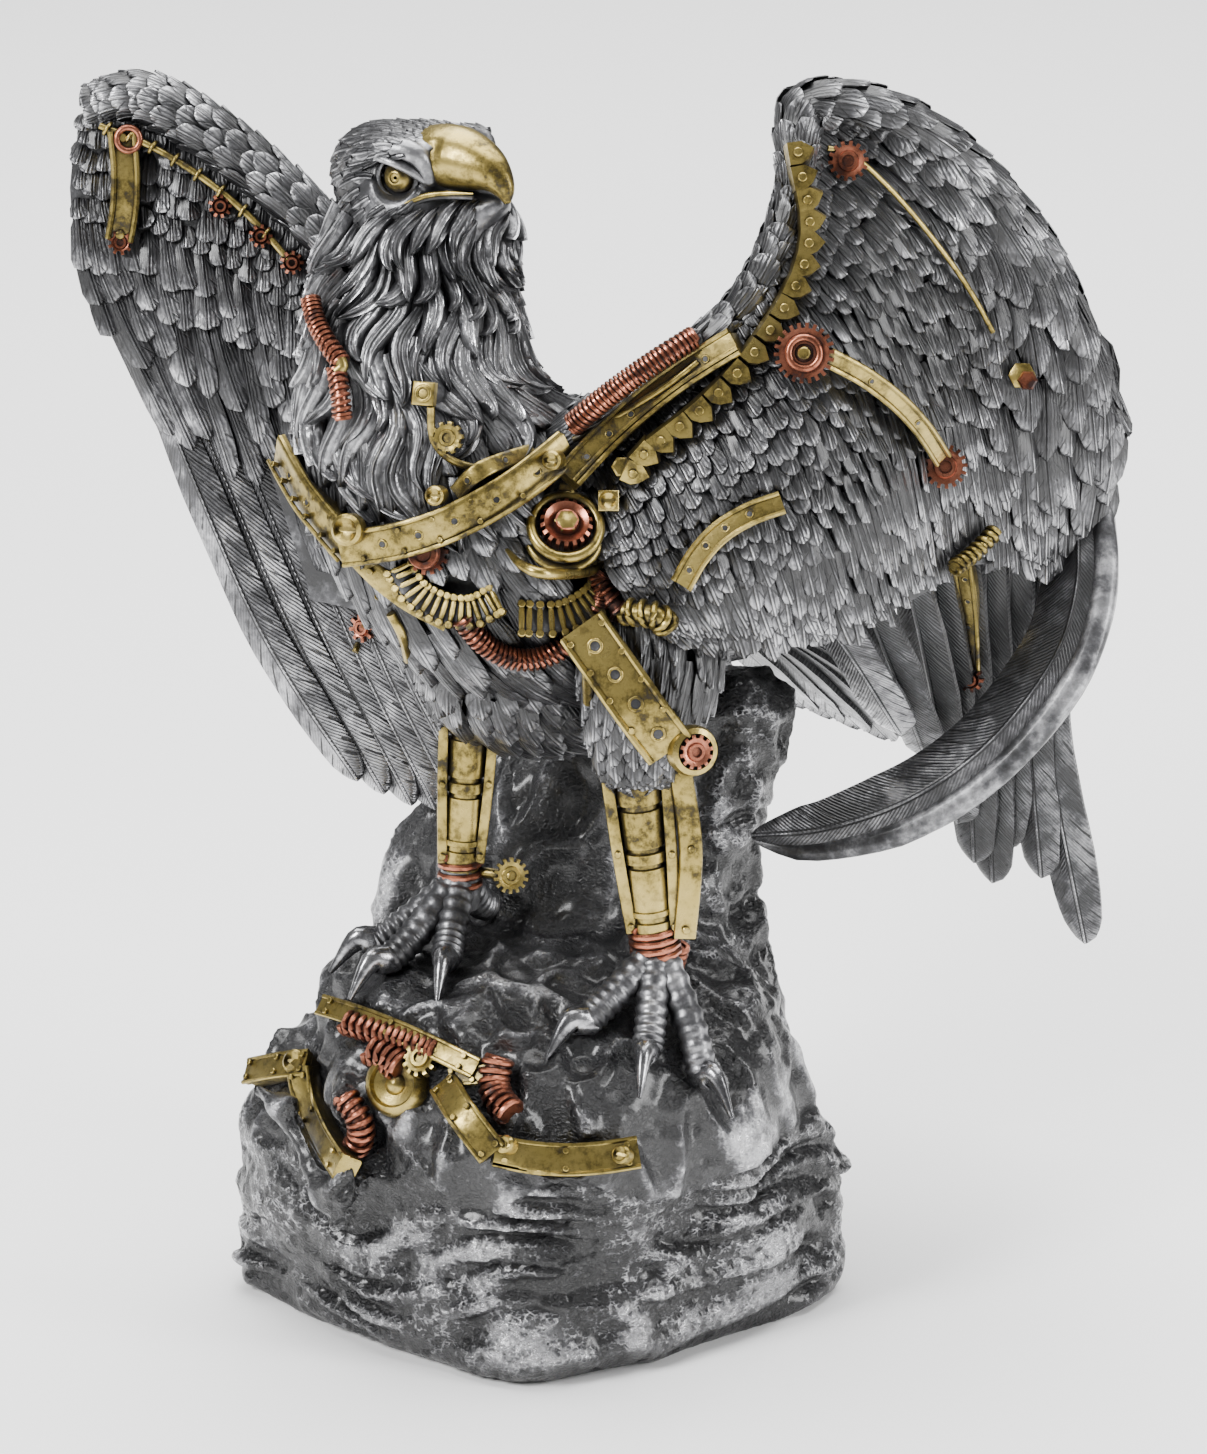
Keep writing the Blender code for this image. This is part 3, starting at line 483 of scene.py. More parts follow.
class Plumage:
    """Feathers gathered into one mesh. Its UV map holds millimetres across and along each feather."""

    def __init__(self):
        self.points, self.faces, self.uv, self.tone = [], [], [], []
        # Painted shade: how much the next feathers are darkened where they lie in shade.
        self.painted_shade = 0.0  # how much darker the next feathers are

    def feather(
        self, line, half_width, facing, shape="round", rows=6, camber=0.16, thick=0.5, ragged=0.06,
        columns=(-1, -0.6, -0.12, 0, 0.12, 0.6, 1), ribs=0.0,
    ):
        """One closed feather shell along a line of places, with a raised quill down its middle."""
        facing = Vector(facing)
        shares, widths = zip(*SHAPES[shape])
        start = len(self.points)
        length = length_of(line)
        seed = chance.random() * 50
        # A random tone for each feather, less its painted shade.
        tone_and_shade = chance.random() - self.painted_shade
        wide = len(columns)
        top, under = [], []
        for i in range(rows + 1):
            share = 1 - (1 - i / rows) ** 1.35
            centre = Vector(spline(line, share))
            ahead = heading(line, share)
            side = facing.cross(ahead).normalized()
            out = ahead.cross(side)
            w = half_width * float(np.interp(share, shares, widths))
            for a in columns:
                jag = 1.0
                if abs(a) > 0.9:
                    jag += ragged * noise.noise(Vector((share * 9, a * 1.5, seed))) * 2
                height = camber * half_width * (1 - a * a)
                if abs(a) < 0.05:
                    height += 0.09 * half_width * (1 - 0.7 * share)
                height += ribs * math.cos(a * 3 * math.pi)
                at = centre + side * (a * w * jag) + out * height
                top.append(at)
                under.append(at - out * (thick * (1 - 0.6 * share) + height * 0.5))
                self.uv.append((a * w, share * length))
                self.tone.append((share, abs(a), tone_and_shade, 1.0))
        self.points += top + under
        self.uv += self.uv[-len(top):]
        self.tone += self.tone[-len(top):]
        n = len(top)
        for i in range(rows):
            for k in range(wide - 1):
                a = start + i * wide + k
                self.faces.append((a, a + 1, a + 1 + wide, a + wide))
                self.faces.append((a + n + wide, a + n + wide + 1, a + n + 1, a + n))
            for k in (0, wide - 1):
                a, b = start + i * wide + k, start + (i + 1) * wide + k
                self.faces.append((a, b, b + n, a + n) if k == 0 else (a + n, b + n, b, a))
        for i in (0, rows):
            for k in range(wide - 1):
                a = start + i * wide + k
                self.faces.append((a + n, a + n + 1, a + 1, a) if i == 0 else (a, a + 1, a + n + 1, a + n))

    def build(self, name, finish):
        thing = new_mesh(name, self.points, self.faces)
        mesh = thing.data
        index = np.empty(len(mesh.loops), int)
        mesh.loops.foreach_get("vertex_index", index)
        layer = mesh.uv_layers.new(name="barbs")
        layer.data.foreach_set("uv", np.array(self.uv, float)[index].ravel())
        paint(mesh, "tone", self.tone)
        dressed(smooth(outward(thing), 50), finish)


def clothe_limb(plumage, stations, span, length, width, lift=(0.2, 1.8), shape="round"):
    """Rows of feathers round a limb from span[0] up to span[1], each pointing back down it."""
    limb = Limb(stations)
    reach = limb.length()
    rows = max(2, round((span[1] - span[0]) * reach / (length * 0.5)))
    for r in range(rows):
        t = span[0] + (span[1] - span[0]) * (r + 0.5) / rows
        count = max(4, round(limb.girth(t) / (width * 0.85)))
        for k in range(count):
            turn = 2 * math.pi * (k + 0.5 * (r % 2) + chance.uniform(-0.15, 0.15)) / count
            long = length * chance.uniform(0.85, 1.15)
            step = long / reach
            skew = chance.uniform(-0.08, 0.08)
            line = []
            for i in range(4):
                share = i / 3
                high = lift[0] + (lift[1] - lift[0]) * share**1.5
                line.append(limb.place(max(t - step * share, 0.0), turn + skew * share, high))
            normal = limb.normal(max(t - step / 2, 0), turn)
            if bare(line[1]):
                continue
            tip = (line[3] - line[0]).cross(normal).normalized()
            normal = normal + tip * chance.uniform(-0.35, 0.35)
            half = width / 2 * chance.uniform(0.9, 1.15)
            plumage.feather(line, half, normal, shape, rows=5, camber=0.28, columns=(-1, -0.5, 0, 0.5, 1))


LEAF_SIZE = 1.3  # feathers scaled up by more than this are pointed, and every other row of them is left out


def arm_stations(wing, arm, thinner, least=0.0):
    """Stations of the thick leading edge of a wing."""
    sizes = [max(r - thinner, least) for r in arm]
    return [(*wing.place(i / (len(arm) - 1), 0), r, r * 0.85) for i, r in enumerate(sizes)]


def clothe_wing(plumage, wing, rows, side, rise, size, shape="round", painted_shade=None):
    """Rows of feathers down one face of a wing: (start, width, length, lift), scaled by size(u, v)."""
    for r, (row, width, length, lift) in enumerate(rows):
        row = max(row, 0.0)
        across_row = wing.span(row)
        u = 0.5 * width / across_row * (r % 2)
        while u < 1.0 - 0.5 * width * size(u, row) / across_row:
            big = size(u, row)
            gap = width * big * 0.84 / across_row
            if big > LEAF_SIZE and r % 2:
                u += gap
                continue
            # Painted shade, darkest in the shaded hollow of the wing.
            plumage.painted_shade = painted_shade(u, row) if painted_shade else 0.0
            v = row + chance.uniform(-0.012, 0.012)
            deep = (wing.place(u, 1.0) - wing.place(u, 0.0)).length
            long = length * big * chance.uniform(0.8, 1.2)
            line = []
            for i in range(4):
                share = i / 3
                down = v + long / deep * share
                beyond = max(down - 1.0, 0.0) * deep
                at = wing.place(u, min(down, 1.0))
                if beyond:
                    at += (wing.place(u, 1.0) - wing.place(u, 0.95)).normalized() * beyond
                high = rise + lift * min(big, 1.4) ** 0.8 * (0.15 + 0.85 * share)
                line.append(at + wing.normal(u, min(down, 1.0)) * (side * high))
            if not bare(line[1]):
                facing = wing.normal(u, min(v + 0.05, 1)) * side
                across = facing.cross(line[3] - line[0]).normalized()
                bend = chance.uniform(-1, 1) * long * 0.09
                line = [p + across * (bend * (i / 3) ** 2) for i, p in enumerate(line)]
                facing = facing + across * chance.uniform(-0.34, 0.34)
                kind = "leaf" if big > LEAF_SIZE else shape
                half = width * big / 2 * chance.uniform(0.9, 1.2)
                plumage.feather(line, half, facing, kind, camber=0.26)
            u += gap * chance.uniform(0.85, 1.12)


def clothe_arm(plumage, wing, arm, width, length):
    """Feathers round the thick leading edge of a wing, pointing out along it and down."""
    edge = Limb(arm_stations(wing, arm, 2.4), EDGE_ACROSS)
    steps = round(edge.length() / (length * 0.42))
    for s in range(steps):
        t = (s + 0.5) / steps
        count = max(5, round(edge.girth(t) / (width * 0.8)))
        for k in range(count):
            turn = 2 * math.pi * (k + 0.5 * (s % 2) + chance.uniform(-0.1, 0.1)) / count
            long = length * chance.uniform(0.8, 1.15) / edge.length()
            line = [edge.place(min(t + long * i / 3, 1.0), turn, 0.1 + 1.5 * (i / 3) ** 1.5) for i in range(4)]
            if (line[3] - line[0]).length < length * 0.4 or bare(line[1]):
                continue
            plumage.feather(line, width / 2, edge.normal(t, turn), "round", rows=5)


def web(name, wing, half, rows=40, columns=14):
    """The thin plate that a wing's feathers lie on."""
    points = []
    for i in range(rows + 1):
        u = i / rows
        front, back = [], []
        for j in range(columns + 1):
            v = j / columns
            out = wing.normal(u, v) * half
            front.append(wing.place(u, v) + out)
            back.append(wing.place(u, v) - out)
        points += front + back[::-1]
    return outward(new_mesh(name, points, closed_skin(rows + 1, 2 * (columns + 1))))


# Camera and the way from a pixel of the photograph to the part

WIDTH, HEIGHT = 1207, 1454
FOCAL = 4681.0  # in pixels
SENSOR = 36.0
TARGET = Vector((15.0, 0.0, 143.0))
DISTANCE = 1100.0
RISE = math.radians(18.0)
EYE = TARGET + Vector((0.0, -math.cos(RISE), math.sin(RISE))) * DISTANCE


def tree_of(thing):
    mesh = thing.data
    places = [v.co / MM for v in mesh.vertices]
    return BVHTree.FromPolygons(places, [tuple(p.vertices) for p in mesh.polygons])


SKINS = {node: tree_of(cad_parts[node]) for node in ("eagle", "rock_base")}


def seen(px, py, lift=0.0, on="eagle"):
    """The place on a solid that this pixel shows, lifted off it, and the way the surface faces there."""
    ahead = (TARGET - EYE).normalized()
    right = Vector((1, 0, 0))
    up = right.cross(ahead)
    ray = (ahead * FOCAL + right * (px - WIDTH / 2) - up * (py - HEIGHT / 2)).normalized()
    hit, normal, *_ = SKINS[on].ray_cast(EYE, ray)
    if hit is None:
        hit, normal, *_ = SKINS[on].find_nearest(EYE + ray * DISTANCE)
    if normal.dot(ray) > 0:
        normal = -normal
    return hit + normal * lift, normal


def make_camera():
    lens = bpy.data.cameras.new("camera")
    lens.sensor_fit = "VERTICAL"
    lens.sensor_height = SENSOR
    lens.lens = FOCAL / HEIGHT * SENSOR
    lens.clip_start = 0.05
    camera = bpy.data.objects.new("camera", lens)
    camera.location = EYE * MM
    camera.rotation_euler = (TARGET - EYE).to_track_quat("-Z", "Y").to_euler()
    bpy.context.scene.collection.objects.link(camera)
    bpy.context.scene.camera = camera


def make_light(name, place, aim, size, power):
    lamp = bpy.data.lights.new(name, "AREA")
    lamp.shape = "RECTANGLE"
    lamp.size, lamp.size_y = size
    lamp.energy = power
    light = bpy.data.objects.new(name, lamp)
    light.location = place
    light.rotation_euler = (Vector(aim) - Vector(place)).to_track_quat("-Z", "Y").to_euler()
    bpy.context.scene.collection.objects.link(light)


# Finishes


class Value:
    """A shader value. Arithmetic on it adds Math nodes to its finish."""

    def __init__(self, finish, socket):
        self.finish, self.socket = finish, socket

    def math(self, operation, *others):
        node = self.finish.node("ShaderNodeMath", {"operation": operation}, dict(enumerate((self, *others))))
        return Value(self.finish, node.outputs[0])

    def __add__(self, other):
        return self.math("ADD", other)

    def __sub__(self, other):
        return self.math("SUBTRACT", other)

    def __mul__(self, other):
        return self.math("MULTIPLY", other)

    def __truediv__(self, other):
        return self.math("DIVIDE", other)

    def __rsub__(self, other):
        return (self * -1.0) + other

    __radd__ = __add__
    __rmul__ = __mul__

    def clamp(self):
        held = self.math("MULTIPLY", 1.0)
        held.socket.node.use_clamp = True
        return held

    def step(self, low, high):
        """0 below low and 1 above high, smoothly."""
        settings = {"interpolation_type": "SMOOTHSTEP"}
        ends = {"Value": self, "From Min": low, "From Max": high}
        node = self.finish.node("ShaderNodeMapRange", settings, ends)
        return Value(self.finish, node.outputs["Result"])


MIX_SHARE, MIX_LOW, MIX_HIGH, MIX_COLOUR = 0, 6, 7, 2  # sockets of a colour Mix node


def with_alpha(colour):
    return (*colour, 1.0) if isinstance(colour, tuple) else colour


class Finish:
    """A material under construction."""

    def __init__(self, name):
        self.material = bpy.data.materials.new(name)
        self.material.use_nodes = True
        self.tree = self.material.node_tree
        self.shader = self.tree.nodes["Principled BSDF"]

    def node(self, kind, settings=None, sockets=None):
        made = self.tree.nodes.new(kind)
        for key, value in (settings or {}).items():
            setattr(made, key, value)
        for key, value in (sockets or {}).items():
            self.feed(made.inputs[key], value)
        return made

    def feed(self, socket, value):
        if isinstance(value, Value):
            self.tree.links.new(value.socket, socket)
        elif isinstance(value, bpy.types.NodeSocket):
            self.tree.links.new(value, socket)
        else:
            socket.default_value = value

    def value(self, kind, output, settings=None, sockets=None):
        return Value(self, self.node(kind, settings, sockets).outputs[output])

    def place(self):
        return self.node("ShaderNodeTexCoord").outputs["Object"]

    def noise(self, scale, detail=3.0, rough=0.55):
        sockets = {"Vector": self.place(), "Scale": scale, "Detail": detail, "Roughness": rough}
        return self.value("ShaderNodeTexNoise", "Fac", None, sockets)

    def hollows(self, reach):
        """1 in the open and less in crevices narrower than the reach, in metres: an ambient occlusion mask used
        to paint shade into colours.
        """
        node = self.node("ShaderNodeAmbientOcclusion", {"samples": 4}, {"Distance": reach})
        return Value(self, node.outputs["AO"])

    def mix(self, share, low, high):
        settings = {"data_type": "RGBA"}
        sockets = {MIX_SHARE: share, MIX_LOW: with_alpha(low), MIX_HIGH: with_alpha(high)}
        return self.node("ShaderNodeMix", settings, sockets).outputs[MIX_COLOUR]

    def split(self, vector):
        node = self.node("ShaderNodeSeparateXYZ", None, {0: vector})
        return [Value(self, out) for out in node.outputs]

    def attribute(self, name):
        return self.node("ShaderNodeAttribute", {"attribute_name": name})

    def bump(self, height, distance, strength=1.0):
        node = self.node("ShaderNodeBump", None, {"Strength": strength, "Distance": distance, "Height": height})
        self.feed(self.shader.inputs["Normal"], node.outputs[0])

    def coat(self, colour, roughness, metallic):
        for name, value in (("Base Color", colour), ("Roughness", roughness), ("Metallic", metallic)):
            self.feed(self.shader.inputs[name], with_alpha(value))
        return self.material

    def lacquer(self, weight, roughness):
        self.shader.inputs["Coat Weight"].default_value = weight
        self.shader.inputs["Coat Roughness"].default_value = roughness


# The darkest silver: the black wash, and painted shade in crevices.
WASH_AND_SHADE_BLACK = (0.004, 0.004, 0.005)
DULL_SILVER = (0.085, 0.085, 0.09)
SILVER = (0.6, 0.6, 0.615)


def silvered(finish, bright, dull, polish, metal=0.92):
    """Black wash and painted shade, through dull silver, to burnished silver, which is smoother and more
    metallic.
    """
    dark = finish.mix(bright.step(0.0, 0.35), WASH_AND_SHADE_BLACK, DULL_SILVER)
    colour = finish.mix(bright.step(0.2, 1.0), dark, SILVER)
    return finish.coat(colour, dull - bright * polish, bright.step(0.02, 0.35) * metal)


def feather_silver(
    name, stroke=0.9, cut=4.0, cuts=0.6, depth=0.0002, tips=0.5, lift=0.0,
    slanted=False, line=0.14, shaft=0.3,
):
    """Antiqued feathers: fine strokes on them, cuts in from their edges, tips painted bright as highlights with
    painted shade at the roots, and painted shade in crevices.
    """
    finish = Finish(name)
    across, length, _ = finish.split(finish.node("ShaderNodeUVMap", {"uv_map": "barbs"}).outputs[0])
    share, edge, tone_and_shade = finish.split(finish.attribute("tone").outputs["Color"])
    away = across.math("ABSOLUTE")
    wander = finish.noise(330.0, 3.0)
    course = length - away * 1.25 if slanted else across * (1.25 - share * 0.5)
    strokes = (course * (2 * math.pi / stroke) + wander * (3.0 if slanted else 7.0)).math("SINE") * 0.5 + 0.5
    slant = (length - away * 1.3) / cut + finish.noise(45.0, 1.0) * 2.2
    near = (slant.math("FRACT") - 0.5).math("ABSOLUTE")
    some = finish.noise(190.0, 1.0).step(0.38, 0.46)
    slit = (1.0 - (near - edge * 0.07).step(0.0, 0.045)) * edge.step(0.25, 0.5) * some * cuts
    quill = 1.0 - away.step(0.12, 0.34)
    beside = away.step(0.26, 0.42) * (1.0 - away.step(0.5, 0.8))
    patches = finish.noise(75.0, 4.0, 0.65).step(0.36, 0.64)
    specks = finish.noise(170.0, 4.0, 0.7).step(0.38, 0.62)
    # Painted shade: ambient occlusion darkens narrow crevices, where the black wash also lies, and broad
    # hollows under other parts.
    open_air = finish.hollows(0.006).step(0.5, 1.0) * (finish.hollows(0.035).step(0.3, 0.85) * 0.55 + 0.45)
    broad = finish.noise(28.0, 2.0).step(0.35, 0.65)
    # Painted light: tips bright and roots dark where they lie under the feathers above. The random tone also
    # carries painted shade.
    wear_and_painted_light = share.step(0.45, 1.0) * tips + quill * 0.18 + strokes * line + patches * 0.3 + specks * 0.24
    wear_and_painted_light = wear_and_painted_light + broad * 0.2 + tone_and_shade * 0.2 + (lift - 0.5) - slit * 0.6 - beside * shaft
    bright = (wear_and_painted_light * (open_air * 0.97 + 0.03)).clamp()
    finish.bump(strokes * 0.5 - slit * 1.2 + quill * 0.7 - beside * 0.7 + wander * 0.8 + patches * 0.5, depth)
    finish.lacquer(0.35, 0.22)
    return silvered(finish, bright, 0.44, 0.2)


def cast_silver(name, scale=1.0, shine=0.3, depth=0.0003, lift=0.0):
    """Silver paint over black wash on smooth or rough castings, with painted shade in their crevices."""
    finish = Finish(name)
    grain = finish.noise(420.0 * scale, 4.0, 0.65)
    blotch = finish.noise(95.0 * scale, 4.0, 0.6)
    # Painted shade: ambient occlusion darkens the crevices, where the black wash also lies.
    open_air = finish.hollows(0.006).step(0.4, 0.97)
    wear_and_painted_light = grain.step(0.35, 0.7) * 0.25 + blotch.step(0.34, 0.66) * 0.5 + (lift - 0.06)
    bright = (wear_and_painted_light * (open_air * 0.95 + 0.05)).clamp()
    finish.bump(grain * 0.7 + blotch * 0.3, depth)
    finish.lacquer(0.35, 0.2)
    return silvered(finish, bright, shine + 0.15, 0.15)


def washed_metal(name, colour, dark):
    """Gold or copper paint with a dark wash in its corners, deepened there as painted shade, and scuffs on its
    faces.
    """
    finish = Finish(name)
    scuffs = finish.noise(330.0, 5.0, 0.7)
    blotch = finish.noise(75.0, 2.0)
    # Painted shade: ambient occlusion darkens the corners, together with the dark wash.
    open_air = finish.hollows(0.006).step(0.25, 0.9)
    clean_and_unshaded = scuffs.step(0.3, 0.65) * 0.5 + blotch.step(0.3, 0.65) * 0.42 + 0.1
    clean_and_unshaded = (clean_and_unshaded * (open_air * 0.92 + 0.08)).clamp()
    pale = tuple(c * 1.1 + 0.02 for c in colour)
    face = finish.mix(blotch.step(0.4, 0.7), colour, pale)
    finish.bump(scuffs, 0.00012)
    colour = finish.mix(clean_and_unshaded.step(0.1, 0.85), dark, face)
    return finish.coat(colour, 0.44 - clean_and_unshaded * 0.18, clean_and_unshaded.step(0.0, 0.4) * 0.95)


def rock_silver():
    """Dry-brushed silver on the rock: its relief attribute says what stands out and what is pitted, and carries
    painted shade round the works and on the pillar behind the legs.
    """
    finish = Finish("rock_silver")
    high, pitted, _ = finish.split(finish.attribute("relief").outputs["Color"])
    grain = finish.noise(560.0, 5.0, 0.7)
    sockets = {"Vector": finish.place(), "Scale": (1.0, 1.0, 1.5)}
    place = finish.node("ShaderNodeMapping", None, sockets).outputs[0]
    shake = finish.node("ShaderNodeTexNoise", None, {"Vector": place, "Scale": 240.0, "Detail": 2.0})
    sockets = {0: shake.outputs["Color"], "Scale": 0.0022}
    small = finish.node("ShaderNodeVectorMath", {"operation": "SCALE"}, sockets)
    warped = finish.node("ShaderNodeVectorMath", {"operation": "ADD"}, {0: place, 1: small.outputs[0]})
    sockets = {"Vector": warped.outputs[0], "Scale": 640.0}
    cells = finish.value("ShaderNodeTexVoronoi", "Distance", {"feature": "DISTANCE_TO_EDGE"}, sockets)
    veins = (1.0 - cells.step(0.02, 0.34)) * grain.step(0.36, 0.58)
    # Painted shade: ambient occlusion darkens crevices, where the wash also lies, and broad hollows of the
    # rock.
    open_air = finish.hollows(0.009).step(0.35, 0.97)
    blotch = finish.noise(48.0, 4.0, 0.6).step(0.36, 0.64)
    deep = finish.hollows(0.045).step(0.3, 0.85) * 0.6 + 0.4
    specks = finish.noise(190.0, 4.0, 0.7).step(0.38, 0.62)
    wear_and_painted_light = high * 1.35 + veins * pitted * 0.75 + blotch * 0.24 + specks * 0.34
    wear_and_painted_light = wear_and_painted_light + grain.step(0.45, 0.7) * 0.14 - 1.12
    bright = (wear_and_painted_light * deep * (open_air * 0.94 + 0.06)).clamp()
    finish.bump(grain * 0.3 + veins * pitted + blotch * 0.5, 0.0008)
    finish.lacquer(0.5, 0.2)
    return silvered(finish, bright, 0.38, 0.12, 0.9)


# The finishes used here

PLUMAGE = feather_silver("plumage_silver")
FLIGHT = feather_silver(
    "flight_feather_silver", stroke=1.1, cut=4.6, cuts=1.0, depth=0.00022, tips=0.3, lift=0.4,
    slanted=True, line=0.1, shaft=0.55,
)
CROWN = feather_silver("crown_silver", stroke=0.7, depth=0.00015, tips=0.4, lift=0.24)
LOCKS = feather_silver(
    "neck_lock_silver", stroke=1.3, cut=9.0, cuts=0.2, depth=0.00025, tips=0.25, lift=0.45, line=0.22
)
# A darker copy of the cast silver for the body between the feathers, the mouth line and the dark bits of the
# works: painted shade, with the black wash.
UNDER = cast_silver("silver_under_feathers", lift=-0.2)
SKIN = cast_silver("bare_silver", scale=0.8, lift=0.06)
RIM = cast_silver("rim_silver", scale=0.9, shine=0.42, lift=0.02)
TALON = cast_silver("talon_silver", scale=1.4, shine=0.15, lift=0.12, depth=0.0001)
BRASS = washed_metal("brass_paint", (0.4, 0.305, 0.088), (0.014, 0.01, 0.004))
COPPER = washed_metal("copper_paint", (0.4, 0.14, 0.08), (0.015, 0.004, 0.003))
STONE = rock_silver()


# Places kept free of feathers, for the clockwork: (place, radius) in millimetres.

CLEARINGS = []


def clear_along(places, radius):
    CLEARINGS.extend((Vector(p), radius) for p in places)


def clear_under(pixels, radius, lift=1):
    clear_along([seen(x, y, lift)[0] for x, y in pixels], radius)


def bare(place):
    return any((place - centre).length < radius for centre, radius in CLEARINGS)


# The head

HEAD = Vector((-28, -1, 272))
AHEAD = Vector((0.756, -0.655, 0))
ASIDE = Vector((-0.655, -0.756, 0))  # the head's right, which faces the camera


def on_head(ahead, aside, up):
    return HEAD + AHEAD * ahead + ASIDE * aside + UP * up


def head_limb(rows, sides=20, steps=16):
    """A limb from rows of ahead, aside, up, half width and half height."""
    stations = [(*on_head(*row[:3]), *row[3:]) for row in rows]
    return tube_mesh(stations, across=ASIDE, sides=sides, steps=steps)


def fused(name, forms, voxel, rounds=4):
    """One skin round several closed forms."""
    points, faces = [], []
    for some_points, some_faces in forms:
        faces += [[len(points) + i for i in face] for face in some_faces]
        points += some_points
    thing = outward(new_mesh(name, points, faces))
    melt = thing.modifiers.new("melt", "REMESH")
    melt.mode = "VOXEL"
    melt.voxel_size = voxel * MM
    ease_off = thing.modifiers.new("ease_off", "SMOOTH")
    ease_off.factor = 0.5
    ease_off.iterations = rounds
    return apply_all(thing)


EYES = ((on_head(6.5, 12.8, 4.7), 1), (on_head(6.5, -12.8, 4.7), -1))  # place and side
EYE_DOME = (
    (0.02, -1.2), (0.42, -1.2), (0.42, 0.9), (0.8, 1.0), (1.05, 1.0), (1.25, 1.35),
    (1.75, 1.25), (2.0, 0.85), (2.6, 0.6), (3.3, -0.1), (3.7, -1.2), (3.7, -3.4),
)
GAPE = ((24, 5, 2.4), (18, 7, 2.0), (13, 8.8, 1.0), (9.6, 11.6, -0.8), (6.6, 13.2, -3))
LID = (
    (-5, 13.4, 0.4, 1.4, 1.0), (1, 14.0, -0.4, 1.8, 1.2), (7, 13.2, 0.2, 1.8, 1.3), (11.5, 10.8, 2.2, 1.6, 1.3),
)
SHELF = (
    (-1, 13.0, 8.4, 1.2, 0.9),
    (3, 14.2, 9.3, 2.0, 1.2),
    (7, 14.0, 8.9, 2.3, 1.3),
    (10.6, 12.2, 7.2, 1.9, 1.3),
    (13, 9.6, 4.4, 1.2, 1.1),
)
BROW = (
    (-9, 12.4, 4.6, 1.4, 1.4),
    (-4, 13.4, 8.4, 2.6, 2.2),
    (2, 13.6, 10.8, 3.3, 2.5),
    (8, 12.8, 11.4, 3.2, 2.7),
    (11.8, 11.4, 10.2, 2.5, 2.6),
    (13.2, 9.9, 6.9, 1.9, 2.4),
    (13.2, 9.0, 3.4, 1.5, 1.8),
)


def on_side(rows, side):
    """The rows of a brow for one side of the head, the far one set a little lower."""
    drop = 0 if side == 1 else 1.2
    return [(a, side * b, c - drop, *rest) for a, b, c, *rest in rows]


def head_forms():
    skull = (
        (-18, 0, -2, 6, 7), (-13, 0, 0, 12, 12), (-5, 0, 1, 14.2, 13), (3, 0, 1.4, 13.0, 12.4),
        (9, 0, 3.2, 10.6, 10.8), (13, 0, 5.2, 8.4, 9.2), (16, 0, 6.2, 7.2, 8.0),
    )
    crown = (
        (-11, 0, 8.6, 8, 4.2), (-4, 0, 10.0, 12, 4.0), (4, 0, 11.0, 12.6, 3.4),
        (11, 0, 11.6, 11.2, 2.8), (15, 0, 11.2, 8.6, 2.4),
    )
    jaw = (
        (-12, 0, -12, 12, 9), (-4, 0, -13, 14.6, 10), (5, 0, -11, 12.6, 9), (12, 0, -8.4, 10, 7.8),
        (18, 0, -4.4, 8.4, 6.6), (22, -0.5, -2.6, 6.6, 4.8), (26, 0, -0.6, 3.6, 2.6), (28, 0, 0.4, 1.6, 1.4),
    )
    throat = ((17, -1, -5, 9.5, 7), (15, -1, -14, 11.5, 9.5), (8, -1, -28, 14, 13))
    nape = ((-28, -2, 276, 15, 14), (-28, -2, 262, 18, 18), (-28, -4, 246, 20, 19))
    forms = [head_limb(skull), head_limb(crown), head_limb(jaw), head_limb(throat, steps=8)]
    forms.append(tube_mesh(nape, across=ACROSS, sides=20, steps=6))
    for side in (1, -1):
        forms.append(head_limb(on_side(BROW, side), sides=12, steps=24))
        forms.append(head_limb([(a, side * b, c, *rest) for a, b, c, *rest in LID], sides=12))
    return forms


def build_skull():
    """Flat-crowned skull with brows, cheeks, jaw and throat in one skin, and the sockets pressed in."""
    skull = fused("head", head_forms(), 0.7, rounds=3)
    for eye, side in EYES:
        inward = (ASIDE * side + AHEAD * 0.25).normalized() * -1
        for vertex in skull.data.vertices:
            at = vertex.co / MM
            off = at - eye
            flat = (off - inward * off.dot(inward)).length
            if off.length < 14:
                vertex.co += inward * (3.6 * (1 - ease(flat, 3.2, 6.0))) * MM
    return skull


CELL = 6  # mm, as wide as the widest spacing asked for


def spaced(thing, spacing, keep):
    """Places and normals scattered over a mesh, no nearer to each other than the spacing."""
    order = list(range(len(thing.data.vertices)))
    chance.shuffle(order)
    cells, chosen = {}, []
    for index in order:
        vertex = thing.data.vertices[index]
        at = vertex.co / MM
        if not keep(at):
            continue
        gap = spacing(at)
        cell = [int(c // CELL) for c in at]
        around = itertools.product(*((c - 1, c, c + 1) for c in cell))
        if all((p - at).length > gap for key in around for p in cells.get(key, ())):
            cells.setdefault(tuple(cell), []).append(at)
            chosen.append((at, vertex.normal.copy()))
    return chosen


def level(ahead, normal):
    """The part of a heading that runs along a surface."""
    return (ahead - normal * ahead.dot(normal)).normalized()


